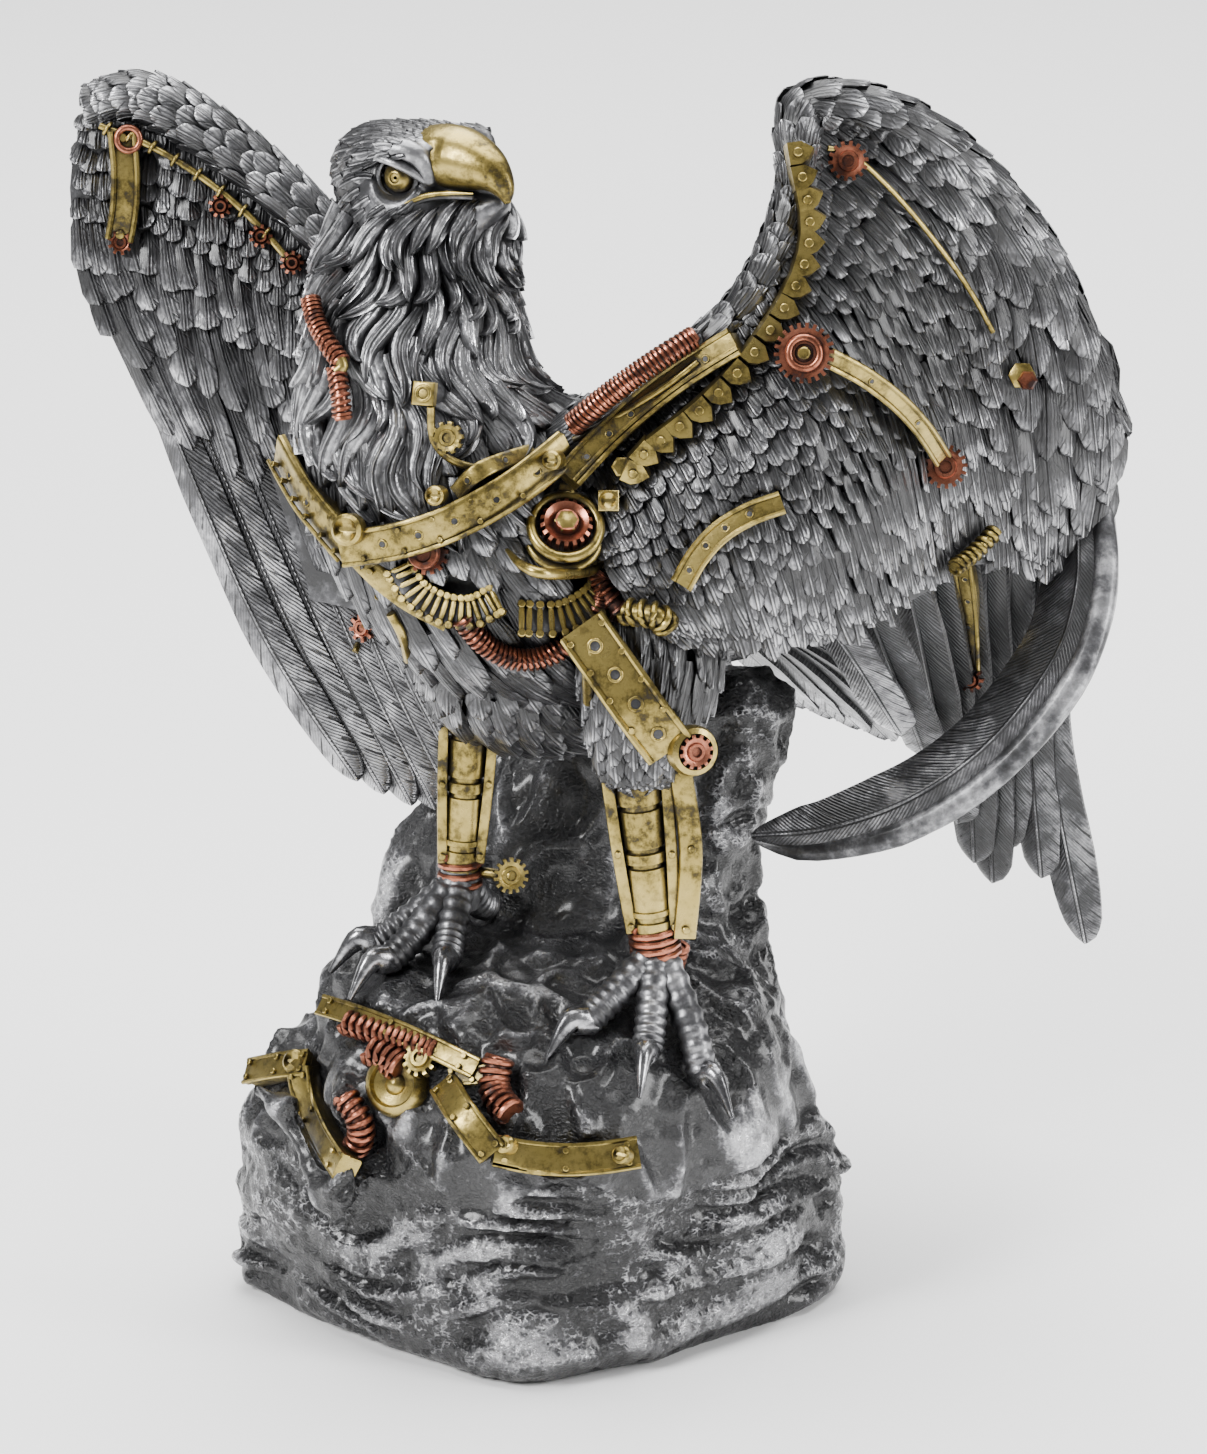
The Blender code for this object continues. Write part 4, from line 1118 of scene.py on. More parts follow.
def build_head():
    skull = build_skull()
    tree = tree_of(skull)

    def fluffy(at):
        ahead = (at - HEAD).dot(AHEAD)
        up = at.z - HEAD.z
        if up < -18 or (ahead > 11.5 and up > -2) or ahead > 19:
            return False
        ridges = [on_head(a, s * b, c) for a, b, c, *_ in BROW[4:] for s in (1, -1)]
        if min((at - ridge).length for ridge in ridges) < 3.0:
            return False
        return min((at - eye).length for eye, _ in EYES) > 6.2

    def backward(at):
        return AHEAD * -1 + UP * (-0.25 - 0.9 * ease(HEAD.z + 4 - at.z, -4, 12))

    small = Plumage()
    seeds = spaced(skull, lambda at: 2.0 + 0.05 * max(12 - (at - HEAD).dot(AHEAD), 0), fluffy)
    for at, normal in seeds:
        size = 4.2 + 0.11 * max(14 - (at - HEAD).dot(AHEAD), 0)
        line = [at - normal * 0.1]
        for share in (1 / 3, 2 / 3, 1):
            at, normal, *rest = tree.find_nearest(at + level(backward(at), normal) * (size / 3))
            line.append(at + normal * (0.52 * share**1.5 - 0.1))
        small.feather(line, size * 0.31, normal, "point", rows=4, camber=0.25, thick=0.3)
    small.build("crown_feathers", CROWN)
    shelves = [new_mesh("shelf", *head_limb(on_side(SHELF, side), sides=14, steps=20)) for side in (1, -1)]
    skull = join("head", [skull, *shelves])
    dressed(smooth(skull, 60), SKIN, "eagle")

    profile = (
        (2.5, 280.3, 7.8, 7.4), (6, 280.8, 7.8, 7.4), (10, 280.8, 7.3, 7.2), (14, 280.4, 6.4, 6.3),
        (18, 279.3, 5.0, 5.0), (21, 277.4, 3.4, 3.6), (22.8, 275.0, 2.0, 2.4), (23.4, 272.6, 0.6, 0.8),
    )
    stations = [(-24 + AHEAD.x * reach, -8 + AHEAD.y * reach, *rest) for reach, *rest in profile]
    beak = tube("beak", stations, across=ASIDE, sides=24, steps=28)
    carve_nostrils(beak)
    lips, creases = [], []
    for side in (1, -1):
        line = [on_head(a, side * b + 1.2, c) for a, b, c in GAPE]
        lip = [(*p, r, r * 0.7) for p, r in zip(line, (0.2, 0.6, 0.8, 0.75, 0.3))]
        # The mouth line is a dark tube under the lip: painted shade of the crease.
        crease = [(*(p - UP * 0.9), 0.5, 0.6) for p in line]
        lips.append(tube("lip", lip, across=UP, sides=8, steps=20))
        creases.append(tube("mouth_line", crease, across=UP, sides=8, steps=20))
    dressed(join("mouth_line", creases), UNDER, "eagle")
    dressed(smooth(join("beak", [beak, *lips]), 60), BRASS, "eagle")

    eyes, rims = [], []
    for centre, side in EYES:
        axis = (ASIDE * side + AHEAD * 0.3 + UP * 0.06).normalized()
        eyes.append(lathe("eye", EYE_DOME, centre - axis * 0.9, axis, sides=36))
        rims.append(ring("lid", centre - axis * 1.2, axis, 4.7, 0.65))
    dressed(smooth(join("lids", rims), 60), TALON, "eagle")
    dressed(smooth(join("eyes", eyes), 50), BRASS, "eagle")


def carve_nostrils(beak):
    """Presses a slit into each side of the beak."""
    for side in (1, -1):
        slit = on_head(14.6, 2.7 + side * 7.0, 11.6)
        for vertex in beak.data.vertices:
            off = vertex.co / MM - slit
            long = abs(off.dot(AHEAD) * 0.8 + off.z * 0.6)
            short = abs(off.dot(AHEAD) * -0.6 + off.z * 0.8)
            if off.length < 6:
                press = 1.1 * (1 - ease(long, 1.6, 3.0)) * (1 - ease(short, 0.5, 1.3))
                vertex.co += ASIDE * (-side * press * MM)


# Body, neck and thighs


def build_core():
    """The dark form that shows between the feathers, its darkness painted shade along with the black wash."""
    forms = []
    for stations, sides in ((SPINE[:8], 28), (BELLY, 20), (LEFT_THIGH, 20), (RIGHT_THIGH, 20)):
        rows = [(*place, max(wide - 1.2, 3), max(thick - 1.2, 3)) for *place, wide, thick in stations]
        forms.append(tube_mesh(rows, across=ACROSS, sides=sides, steps=24))
    for grid, arm in ((LEFT_WING, LEFT_ARM), (RIGHT_WING, RIGHT_ARM)):
        wing = Wing(grid)
        forms.append(tube_mesh(arm_stations(wing, arm, 3.4, 1), across=EDGE_ACROSS, sides=14, steps=30))
    core = fused("body", forms, 1.6)
    webs = [web("left_web", Wing(LEFT_WING), 1.2), web("right_web", Wing(RIGHT_WING), 1.2)]
    dressed(smooth(join("body", [core, *webs]), 50), UNDER, "eagle")


def build_body_feathers():
    plumage = Plumage()
    clothe_limb(plumage, SPINE, (0.06, 0.5), 9.5, 6.6, lift=(0.3, 2.8))
    clothe_limb(plumage, BELLY[::-1], (0.0, 1.0), 9, 6.2, lift=(0.2, 2.4))
    for thigh in (LEFT_THIGH, RIGHT_THIGH):
        clothe_limb(plumage, thigh[::-1], (0.0, 0.9), 9, 5.4, lift=(0.3, 1.8), shape="point")
    plumage.build("body_feathers", PLUMAGE)


LOCK_STEPS = 10


def build_neck_locks():
    """Long wavy locks laid over the throat and neck, each lying over the next ones down."""
    neck = tube_mesh(SPINE[2:9], across=ACROSS, sides=28, steps=30)
    form = fused("neck_form", head_forms() + [neck], 1.2)
    tree = tree_of(form)

    def grows(at):
        off = at - HEAD
        ahead = off.dot(AHEAD)
        if at.z < 221 - 8 * ease(-at.x, 24, 44):
            return False
        return off.z < -3 + 4.5 * ease(ahead, 6, 18)

    def flow(at, phase):
        away = Vector((at.x + 28, at.y + 3, 0)).normalized()
        aside = UP.cross(away)
        wave = math.sin(at.z * 2 * math.pi / 27 + 1.6 * math.atan2(away.y, away.x) + phase)
        near = max(away.dot(ASIDE), 0)
        sweep = 0.3 * near * ease(238 - at.z, 0, 16) - 0.95 * near * ease(at.z, 246, 266)
        return aside * (0.62 * wave + sweep) - UP

    seeds = spaced(form, lambda at: 3.8 + 2.2 * ease(266 - at.z, 0, 36), grows)
    bpy.data.objects.remove(form)
    seeds.sort(key=lambda seed: seed[0].z)
    plumage = Plumage()
    ribbed = (-1, -0.67, -0.33, 0, 0.33, 0.67, 1)
    for at, normal in seeds:
        low = ease(266 - at.z, 0, 26)
        reach = (15 + 15 * low) * chance.uniform(0.8, 1.15)
        phase = chance.uniform(-0.45, 0.45)
        curl = chance.choice((-1, 1)) * chance.uniform(0.2, 0.9)
        line = [at - normal * 0.9]
        for i in range(1, LOCK_STEPS + 1):
            share = i / LOCK_STEPS
            ahead = level(flow(at, phase), normal)
            ahead = (ahead + normal.cross(ahead) * (curl * share**3)).normalized()
            at, normal, *_ = tree.find_nearest(at + ahead * (reach / LOCK_STEPS))
            line.append(at + normal * (-0.9 + 3.6 * share**1.1))
            if i == LOCK_STEPS // 2 + 1:
                facing = normal.copy()
        if facing.z < -0.4:  # it would roll over the tip of the jaw
            continue
        wide = (2.5 + 1.4 * low) * chance.uniform(0.85, 1.2)
        plumage.feather(
            line, wide, facing, "point", rows=16, camber=0.5, thick=1.0, ragged=0.02, columns=ribbed, ribs=0.26
        )
    plumage.build("neck_locks", LOCKS)


# Wings, tail and the long feathers


def build_wing_coverts():
    left, right = Wing(LEFT_WING), Wing(RIGHT_WING)

    def left_size(u, v):
        return 0.85 + 0.95 * ease(u, 0.58, 0.8)

    def shaded(u, v):
        return 1.5 * math.exp(-(((u - 0.5) / 0.15) ** 2)) * (1 - ease(v, 0.5, 0.8))

    def left_fringe(u, v):
        return 0.9 + 0.4 * ease(u, 0.6, 0.85) - 0.15 * ease(0.2 - u, 0, 0.2)

    def right_size(u, v):
        return 0.85 + 0.3 * ease(v, 0.2, 0.7)

    def rows_at(shares, *size):
        return [(v, *size) for v in shares]

    front = Plumage()
    rows = rows_at(np.linspace(-0.02, 0.64, 11), 5.2, 9.5, 3.0)
    clothe_wing(front, left, rows, 1, 1.2, left_size, painted_shade=shaded)
    clothe_wing(front, left, rows_at((0.68, 0.74, 0.8, 0.86), 3.9, 15.0, 2.4), 1, 1.0, left_fringe, "long")
    clothe_arm(front, left, LEFT_ARM, 7, 13)
    front.build("left_wing_front", PLUMAGE)
    back = Plumage()
    clothe_wing(back, left, rows_at(np.linspace(-0.02, 0.88, 10), 8.5, 15.0, 2.4), -1, 1.2, left_size)
    back.build("left_wing_back", PLUMAGE)
    front = Plumage()
    clothe_wing(front, right, rows_at(np.linspace(-0.02, 0.3, 6), 5.4, 9.0, 2.4), 1, 1.2, right_size)
    clothe_wing(front, right, rows_at((0.36, 0.45, 0.54, 0.62), 6.2, 17.0, 2.6), 1, 1.2, right_size, "long")
    for row in range(3):
        for k in range(6):
            start = Vector((-58 + 4.6 * k + 2.3 * (row % 2), 32 - k, 216 - 1.5 * k - 12 * row))
            line = [start + Vector((2.6, -0.7, -6.6)) * i for i in range(4)]
            front.feather(line, 3.4 * chance.uniform(0.9, 1.15), RIGHT_QUILL_FACING, "long", camber=0.26)
    clothe_arm(front, right, RIGHT_ARM, 6, 10)
    front.build("right_wing_front", PLUMAGE)
    back = Plumage()
    clothe_wing(back, right, rows_at(np.linspace(-0.02, 0.7, 9), 8.5, 15.0, 2.2), -1, 1.2, right_size)
    back.build("right_wing_back", PLUMAGE)


def quill_lines(quills, count):
    """Lines for a number of long feathers, spread evenly over the given ones."""
    return [[Vector(p) for p in spline(quills, k / (count - 1))] for k in range(count)]


def build_flight_feathers():
    plumage = Plumage()
    fine = (-1, -0.8, -0.4, -0.12, 0, 0.12, 0.4, 0.8, 1)
    facing = Vector((-0.32, -0.94, 0.1))
    for line in quill_lines(RIGHT_QUILLS, 6):
        root = line[0] - (line[-1] - line[0]).normalized() * 16
        plumage.feather([root, *line], 5.3, facing, "long", rows=22, camber=0.3, thick=1.6, columns=fine)
    facing = Vector((-0.45, -0.85, 0.15))
    # Painted shade on the long feathers, darkest where they lie in the hollow of the wing.
    painted_shades = 0.8, 1.0, 1.4, 2.3, 2.5, 2.5, 2.2, 1.5, 1.1
    for line, plumage.painted_shade in zip(quill_lines(LEFT_QUILLS, 9), painted_shades):
        plumage.feather(line, 6.4, facing, "long", rows=22, camber=0.2, thick=1.8, columns=fine)
    # A little painted shade on the tail feathers.
    plumage.painted_shade = 0.5
    root, tip = Vector((42, 42, 162)), Vector((87, 74, 116))
    for k in range(7):
        share = 2 * k / 6 - 1
        end = tip + ACROSS * (share * 24) + UP * (4 * abs(share))
        start = root + ACROSS * (share * 10)
        middle = (start + end) / 2 + UP * (3 - 1.5 * abs(share) + 0.8 * (k % 2))
        line = [start, middle, end]
        plumage.feather(line, 7.4, (0.45, 0.5, 0.8), "long", rows=20, camber=0.16, thick=2.2, columns=fine)
    plumage.build("flight_feathers", FLIGHT)

    curl = [Vector(p) for p in CURLED_QUILL]
    facing, half = Vector((-0.25, -0.9, 0.35)), 9.4
    vane = Plumage()
    # Painted shade on the curled feather.
    vane.painted_shade = 1.5
    vane.feather(curl, half, facing, "curl", rows=48, camber=0.3, thick=3.0, columns=fine, ragged=0.02)
    vane.build("curled_feather", FLIGHT)
    rim = []
    for i in range(33):
        share = i / 32
        ahead = heading(curl, share)
        side = facing.cross(ahead).normalized()
        wide = half * float(np.interp(share, *zip(*SHAPES["curl"])))
        at = Vector(spline(curl, share)) + side * (wide * 0.68) + ahead.cross(side) * 0.9
        rim.append((*at, max(wide * 0.25, 0.3), max(wide * 0.36, 0.3)))
    rim = tube("curled_rim", rim, across=facing, sides=16)
    dressed(smooth(outward(rim), 60), RIM)


# Clockwork


QUARTERS = (0.0, 0.25, 0.5, 0.75, 1.0)


def bar(name, line, width, thick, side):
    stations = [(*p, width / 2, thick / 2) for p in line]
    return tube(name, stations, across=side, sides=12, steps=24, power=0.3)


def side_of(line, facing):
    """Across a bar that runs along a line with its face this way."""
    return (Vector(line[-1]) - Vector(line[0])).cross(Vector(facing))


class Works:
    """Bits of clockwork gathered by metal, so that each group ends up as one piece of each."""

    def __init__(self, name, slot="antique_silver", node="eagle"):
        self.name, self.slot, self.node = name, slot, node
        self.bits = {"brass": [], "copper": [], "dark": []}

    def brass(self, thing):
        self.bits["brass"].append(thing)

    def copper(self, thing):
        self.bits["copper"].append(thing)

    # Dark bits are painted shade: discs for holes, the band between chain barrels, and the posts under gears.
    def dark(self, thing):
        self.bits["dark"].append(thing)

    def rails(self, name, line, facing, lift, shifts, radius=0.6, shares=QUARTERS):
        """Thin rods that run along a bar, shifted off its middle line."""
        for shift in shifts:
            rail = [along(line, s, facing, lift, shift)[0] for s in shares]
            self.brass(round_rod(name, rail, radius, sides=8))

    def plate(
        self, name, line, width, thick, facing, holes=(), hole=0.8, rivets=(), rivet=0.8, across=None, deep=3.0
    ):
        """A flat bar with sunk holes, painted dark as shade, and domed rivets at shares of its length, on a
        deep foot.
        """
        side = across or side_of(line, facing)
        self.brass(bar(name, line, width, thick, side))
        if deep:
            foot = [along(line, i / 6, facing, -(thick + deep) / 2)[0] for i in range(7)]
            self.brass(bar(name + "_foot", foot, width * 0.8, deep + 0.6, side))
        bore = [(0.02, -0.2), (hole * 0.72, -0.2), (hole * 0.72, 0.16), (0.02, 0.16)]
        for share in holes:
            at, normal = along(line, share, facing, thick * 0.5)
            self.dark(lathe(name + "_bore", bore, at, normal, sides=14))
            self.brass(ring(name + "_rim", at, normal, hole, hole * 0.28))
        for share, shift in rivets:
            at, normal = along(line, share, facing, thick * 0.5, shift)
            self.brass(screw(name + "_rivet", at, normal, rivet, slot=False, tall=0.8))

    def finish(self):
        for metal, finish in (("brass", BRASS), ("copper", COPPER), ("dark", UNDER)):
            if self.bits[metal]:
                thing = join(f"{self.name}_{metal}", self.bits[metal])
                dressed(smooth(outward(thing), 40), finish, self.node)


def hex_bolt(name, centre, axis, radius, tall):
    end = tall / 2
    profile = [(0.02, -end), (radius, -end), (radius, tall * 0.3), (radius * 0.8, end), (0.02, end)]
    return lathe(name, profile, centre, axis, sides=6)


def nut(name, centre, axis, width, thick):
    """A square nut with a raised ring round its bore."""
    axis = Vector(axis).normalized()
    end, wide = thick / 2, width * 0.7
    profile = [(0.02, -end), (wide, -end), (wide, thick * 0.4), (width * 0.62, end), (0.02, end)]
    body = lathe(name, profile, centre, axis, sides=4, turned=0.5)
    collar = ring(name + "_collar", Vector(centre) + axis * end, axis, width * 0.3, width * 0.1)
    return join(name, [body, collar])


def lifted(pixels, lift, on="eagle", bend=2):
    """A fair line over a solid under some pixels: a curve of this many bends through the places they show."""
    places = np.array([seen(x, y, lift, on)[0] for x, y in pixels])
    shares = np.linspace(0, 1, len(places))
    fits = [np.polyfit(shares, places[:, axis], min(bend, len(places) - 1)) for axis in range(3)]
    return [Vector([np.polyval(fit, share) for fit in fits]) for share in shares]


def build_harness():
    works = Works("harness")
    out = Vector((-0.35, -0.9, 0))
    facing = (-0.3, -0.95, 0)
    bands = (
        ("short_band", 2.6, ((-58, -8, 213), (-51, -24, 206), (-41, -39, 198.5)), (0.3, 0.55)),
        (
            "band",
            2.8,
            ((-42.5, -38, 198), (-30, -43.8, 201.5), (-18, -45.5, 206), (-4, -42.5, 213), (8, -34.5, 220.5)),
            (0.2, 0.36, 0.52, 0.68, 0.84),
        ),
    )
    rivets = [(s, shift) for s in (0.12, 0.28, 0.44, 0.6, 0.76, 0.92) for shift in (-2.4, 2.4)]
    for name, lift, places, holes in bands:
        line = [Vector(p) + out * lift for p in places]
        works.plate(name, line, 8.0, 2.0, facing, holes, 0.95, rivets, 0.6, across=UP, deep=5.0)
        works.rails("band_edge", line, facing, 1.0, (-3.6, 3.6), 0.55)
        clear_along(line, 2.6 if name == "short_band" else 3.0)
    facing = Vector((-0.3, -0.92, 0.2))
    for px, py, radius in ((362, 533, 3.6), (445, 503, 2.2), (543, 463, 2.2)):
        works.brass(screw("screw", seen(px, py, 5.4)[0], facing, radius, tall=1.8))
    bracket = lifted(((455, 492), (485, 478), (525, 455)), 3.6)
    works.plate("bracket", bracket, 4.0, 1.6, facing, (0.3, 0.7))
    lower = lifted(((368, 552), (392, 572), (418, 596), (452, 612)), 3.0)
    works.plate("lower_plate", lower, 5.5, 1.8, (-0.4, -0.9, 0.1), rivets=((0.2, 0), (0.5, 0), (0.8, 0)))
    clear_along(lower, 3.2)
    works.finish()


def chain(works, line, width, facing, pitch=1.9):
    """A roller chain: barrels across a band painted dark as the shade between them, with a link plate between
    them on either edge.
    """
    count = round(length_of(line) / pitch)
    works.dark(bar("chain_bed", line, width * 0.9, 1.4, side_of(line, facing)))
    for k in range(count + 1):
        ends = [along(line, k / count, facing, 1.0, shift * width / 2)[0] for shift in (-1, 0, 1)]
        barrel = [(*p, r, r) for p, r in zip(ends, (0.55, 0.72, 0.55))]
        works.brass(tube("chain_bar", barrel, sides=8, steps=4, across=facing))
        for end in (ends[0], ends[2]):
            works.brass(screw("chain_link", end, facing, 0.9, slot=False, tall=0.8))


def build_chest_works():
    works = Works("chest_works")
    out = Vector((-0.3, -0.93, 0.2)).normalized()
    at = seen(423, 397, 4.6)[0]
    works.dark(drum("nut_foot", at - out * 4, out, 2.6, 7.0))
    works.brass(nut("nut", at, (-0.3, -0.9, 0.25), 5.2, 2.0))
    rod = lifted(((428, 412), (440, 436), (470, 462), (500, 470)), 4.5)
    works.brass(round_rod("rod", rod, 0.9))
    at = seen(447, 440, 4.2)[0]
    works.dark(drum("gear_foot", at - out * 3, out, 1.8, 5.0))
    works.brass(gear("small_gear", at, out, 3.6, teeth=10, thick=1.4))
    at = seen(430, 548, 4.4)[0]
    works.copper(drum("red_hub", at, out, 3.6, 4.0, grooves=2))
    works.copper(gear("red_hub_gear", at - out * 1.5, out, 5.0, teeth=14, thick=1.2))
    line = lifted(((408, 560), (424, 584), (448, 600), (474, 602), (496, 590)), 4.0, bend=3)
    chain(works, line, 6.2, (-0.25, -0.9, 0.35))
    line = lifted(((404, 572), (424, 598), (452, 612), (484, 610)), 4.4)
    works.brass(tube("chain_rim", [(*p, 0.9, 0.9) for p in line], sides=8, steps=20))
    at = seen(552, 528, 6.0)[0]
    axis = Vector((0.1, -0.75, 0.65)).normalized()
    works.copper(gear("copper_drum", at, axis, 5.8, teeth=18, thick=8.0, tooth=0.14, bore=0.2, hub=0.5))
    works.brass(ring("drum_ring", at + axis * 1.2, axis, 7.6, 1.3))
    works.brass(ring("drum_ring", at - axis * 3.4, axis, 8.2, 1.1))
    works.brass(hex_bolt("drum_nut", at + axis * 4.0, axis, 2.8, 1.8))
    line = lifted(((598, 548), (600, 574), (582, 598), (552, 612), (522, 608)), 4.6, bend=3)
    chain(works, line, 6.6, (0.1, -0.9, 0.4))
    guard = lifted(((516, 548), (528, 566), (552, 574), (578, 566), (590, 548)), 5.5, bend=4)
    guard = [(*p, r, r) for p, r in zip(guard, (0.5, 1.1, 1.3, 1.1, 0.5))]
    works.brass(tube("guard", guard, sides=10, steps=24))
    hose = (466, 604), (482, 630), (510, 646), (542, 641), (570, 624), (588, 600), (595, 582)
    hose = lifted(hose, 5.0, bend=4)
    works.copper(coil("hose", hose, 2.2, 0.55, 1.25, sides=6))
    spring = lifted(((598, 566), (606, 582), (622, 596), (640, 604)), 5.0)
    works.copper(coil("spring", spring, 2.7, 0.55, 1.4, sides=6))
    bolt = lifted(((640, 598), (654, 606), (668, 618)), 4.6)
    works.brass(coil("ribbed_bolt", bolt, 2.6, 0.8, 1.9))
    at = seen(365, 624, 3.4)[0]
    works.copper(gear("star_gear", at, (-0.5, -0.85, 0.1), 3.3, teeth=8, thick=1.6, tooth=0.34))
    rod = lifted(((384, 590), (366, 624), (356, 650)), 2.4)
    works.brass(round_rod("star_rod", rod, 0.8))
    pipe = lifted(((398, 606), (408, 626), (416, 650)), 2.8)
    works.brass(round_rod("side_pipe", pipe, 1.2))
    clear_under(((430, 560), (445, 590), (475, 605), (540, 560), (560, 590), (590, 590)), 6.5)
    clear_under(((620, 596), (655, 606)), 3.6)
    clear_along(hose, 3.6)
    clear_under(((423, 397), (447, 440), (480, 466)), 2.6, 2)
    works.finish()


def build_thigh_works():
    works = Works("thigh_works")
    facing = Vector((-0.1, -0.95, 0.25))
    line = [Vector(p) for p in ((10, -43.4, 181), (16, -46.4, 173), (23, -49.4, 163.5), (30, -48.4, 153.5))]
    rivets = [(s, shift) for s in (0.1, 0.32, 0.53, 0.74) for shift in (-4.3, 4.3)]
    works.plate("girder", line, 11.5, 2.2, facing, (0.2, 0.42, 0.63, 0.84), 1.5, rivets, 0.75, deep=5.5)
    works.rails("girder_rail", line, facing, 1.2, (-5.2, 5.2), 0.8, (0.02, 0.35, 0.68, 0.98))
    cap = Vector((35, -48, 153))
    axis = Vector((0.35, -0.92, 0.15)).normalized()
    profile = (0.02, -2.5), (5.6, -2.5), (5.9, 0), (5.4, 1.6), (4.2, 2.1), (4.0, 1.2), (0.02, 1.2)
    works.brass(lathe("cap", profile, cap, axis, sides=32))
    works.copper(gear("cap_gear", cap + axis * 1.6, axis, 3.9, teeth=12, thick=2.0))
    knee = seen(678, 768, 3.6)[0]
    works.copper(gear("knee_gear", knee, (0.3, -0.9, 0.2), 4.0, teeth=12, thick=2.2, tooth=0.24))
    works.brass(round_rod("hip_pipe", lifted(((600, 632), (590, 660), (596, 700)), 2.0), 1.2))
    clear_along([p + Vector((0, 3, 0)) for p in line], 3.4)
    clear_along([cap], 6.5)
    works.finish()


TEETH = 17  # plates in the saw-edged row


def build_left_wing_works():
    works = Works("left_wing_works")
    spring = lifted(((572, 418), (598, 398), (630, 378), (658, 360), (684, 346)), 3.4)
    works.copper(coil("shoulder_spring", spring, 2.4, 0.48, 1.1, sides=6))
    rail = lifted(((575, 436), (620, 410), (665, 378), (694, 356)), 3.4)
    works.brass(round_rod("spring_rail", rail, 0.8))
    facing = Vector((-0.1, -0.9, 0.4))
    strut = lifted(((558, 470), (604, 438), (650, 406), (696, 372), (730, 338)), 4.6)
    works.plate("girder_strip", strut, 6.0, 1.6, facing, (0.14, 0.28, 0.42, 0.56, 0.7, 0.84), deep=4.0)
    works.rails("strip_rail", strut, facing, 0.9, (-2.8, 1.6, 2.8))
    teeth = (
        (629, 474), (650, 458), (672, 441), (698, 417), (726, 391), (750, 364), (772, 332),
        (788, 300), (798, 270), (803, 238), (802, 206), (799, 178), (797, 150),
    )
    teeth = lifted(teeth, 3.4, bend=6)
    for k in range(TEETH):
        share = (k + 0.5) / TEETH
        ahead = heading(teeth, share)
        spin = ahead.cross(Vector((0.1, -0.95, 0.2))).normalized()
        works.brass(tooth_plate(Vector(spline(teeth, share)), ahead, spin, 6.0))
    works.brass(hex_bolt("round_nut", seen(577, 492, 3.4)[0], (-0.2, -0.92, 0.3), 2.6, 2.0))
    at = seen(608, 496, 3.2)[0]
    works.brass(nut("slot_nut", at, (0.0, -0.95, 0.3), 4.6, 1.8))
    works.brass(screw("slot_screw", at + Vector((0, -1, 0.3)), (0.0, -0.95, 0.3), 2.2, tall=0.8))
    works.brass(hex_bolt("last_nut", seen(627, 471, 3.2)[0], (0.0, -0.95, 0.3), 2.4, 1.8))
    axis = Vector((-0.1, -0.97, 0.22)).normalized()
    hub = seen(805, 352, 2.0)[0]
    works.dark(drum("wing_gear_foot", hub - axis * 4, axis, 5.0, 7.0, grooves=2))
    works.copper(gear("wing_gear", hub, axis, 6.6, teeth=22, thick=2.0, tooth=0.16))
    works.copper(ring("wing_gear_ring", hub + axis * 1.2, axis, 3.4, 0.9))
    works.brass(screw("wing_gear_pin", hub + axis * 0.8, axis, 1.4, slot=False))
    blade = lifted(((826, 356), (856, 374), (886, 398), (914, 426), (936, 452)), 2.6)
    facing = (0.1, -0.98, 0.1)
    works.plate("blade", blade, 4.0, 1.4, facing, (0.3, 0.7), 0.7, deep=5.0)
    works.rails("blade_rail", blade, facing, 0.8, (-1.72, 1.72))
    at = seen(940, 461, 2.8)[0]
    works.dark(drum("blade_gear_foot", at - axis * 3, axis, 3.6, 5.0))
    works.copper(gear("blade_gear", at, axis, 5.0, teeth=16, thick=1.8, tooth=0.2))
    works.copper(gear("hand_gear", seen(838, 166, 3.6)[0], axis, 4.4, teeth=14, thick=1.6, tooth=0.2))
    hand = lifted(((822, 150), (850, 162), (884, 190), (930, 240), (965, 290), (990, 330)), 1.9, bend=3)
    works.brass(round_rod("hand_rod", hand, 0.65))
    works.copper(hex_bolt("hand_nut", seen(1017, 376, 4.4)[0], axis, 2.4, 3.0))
    works.brass(hex_bolt("hand_nut_base", seen(1014, 372, 3.4)[0], axis, 3.2, 1.6))
    arc = lifted(((684, 584), (706, 544), (738, 517), (781, 503)), 3.4)
    facing = (-0.1, -0.93, 0.35)
    works.plate("arc", arc, 4.6, 1.6, facing, (0.15, 0.35, 0.55, 0.75))
    works.rails("arc_rail", arc, facing, 0.8, (-2.1, 2.1))
    works.brass(coil("gold_cuff", lifted(((946, 567), (966, 552), (988, 530)), 2.2), 1.6, 0.7, 2.0))
    vane = [Vector(p) for p in ((99, 9, 181), (101, 14, 172), (102, 20, 160), (103, 24, 150))]
    facing = (-0.3, -0.93, 0.1)
    works.plate("vane", vane, 4.4, 1.4, facing, (0.2, 0.4, 0.6, 0.8), 0.7)
    works.rails("vane_rail", vane, facing, 0.8, (-1.9, 1.9), 0.55, (0.0, 0.5, 1.0))
    works.copper(gear("vane_gear", (103, 23, 147.5), (-0.3, -0.95, 0.1), 3.0, teeth=9, thick=2.0, tooth=0.3))
    for line, radius in ((strut, 4.2), (spring, 3.6), (teeth, 3.0), (blade, 2.4), (arc, 2.4)):
        clear_along(line, radius)
    clear_along([hub], 5.0)
    clear_under([(940, 461)], 3.5)
    works.finish()


def tooth_plate(at, ahead, spin, size):
    """A pointed brass plate with a rivet dome, one of the saw-edged row along the wing."""
    out = spin.cross(ahead).normalized()
    if out.y > 0:
        out = -out
    corners = (-0.5, -0.4), (0.5, -0.4), (0.5, 0.22), (0.14, 0.72), (-0.3, 0.42), (-0.5, 0.1)
    points = []
    for height, scale in ((-3.2, size), (0.9, size * 0.86)):
        points += [at + ahead * (x * scale) + spin * (y * scale) + out * height for x, y in corners]
    slab = new_mesh("tooth_plate", points, closed_skin(2, len(corners)))
    dome = screw("tooth_rivet", at + out * 0.9, out, size * 0.17, slot=False, tall=0.7)
    return join("tooth_plate", [slab, dome])


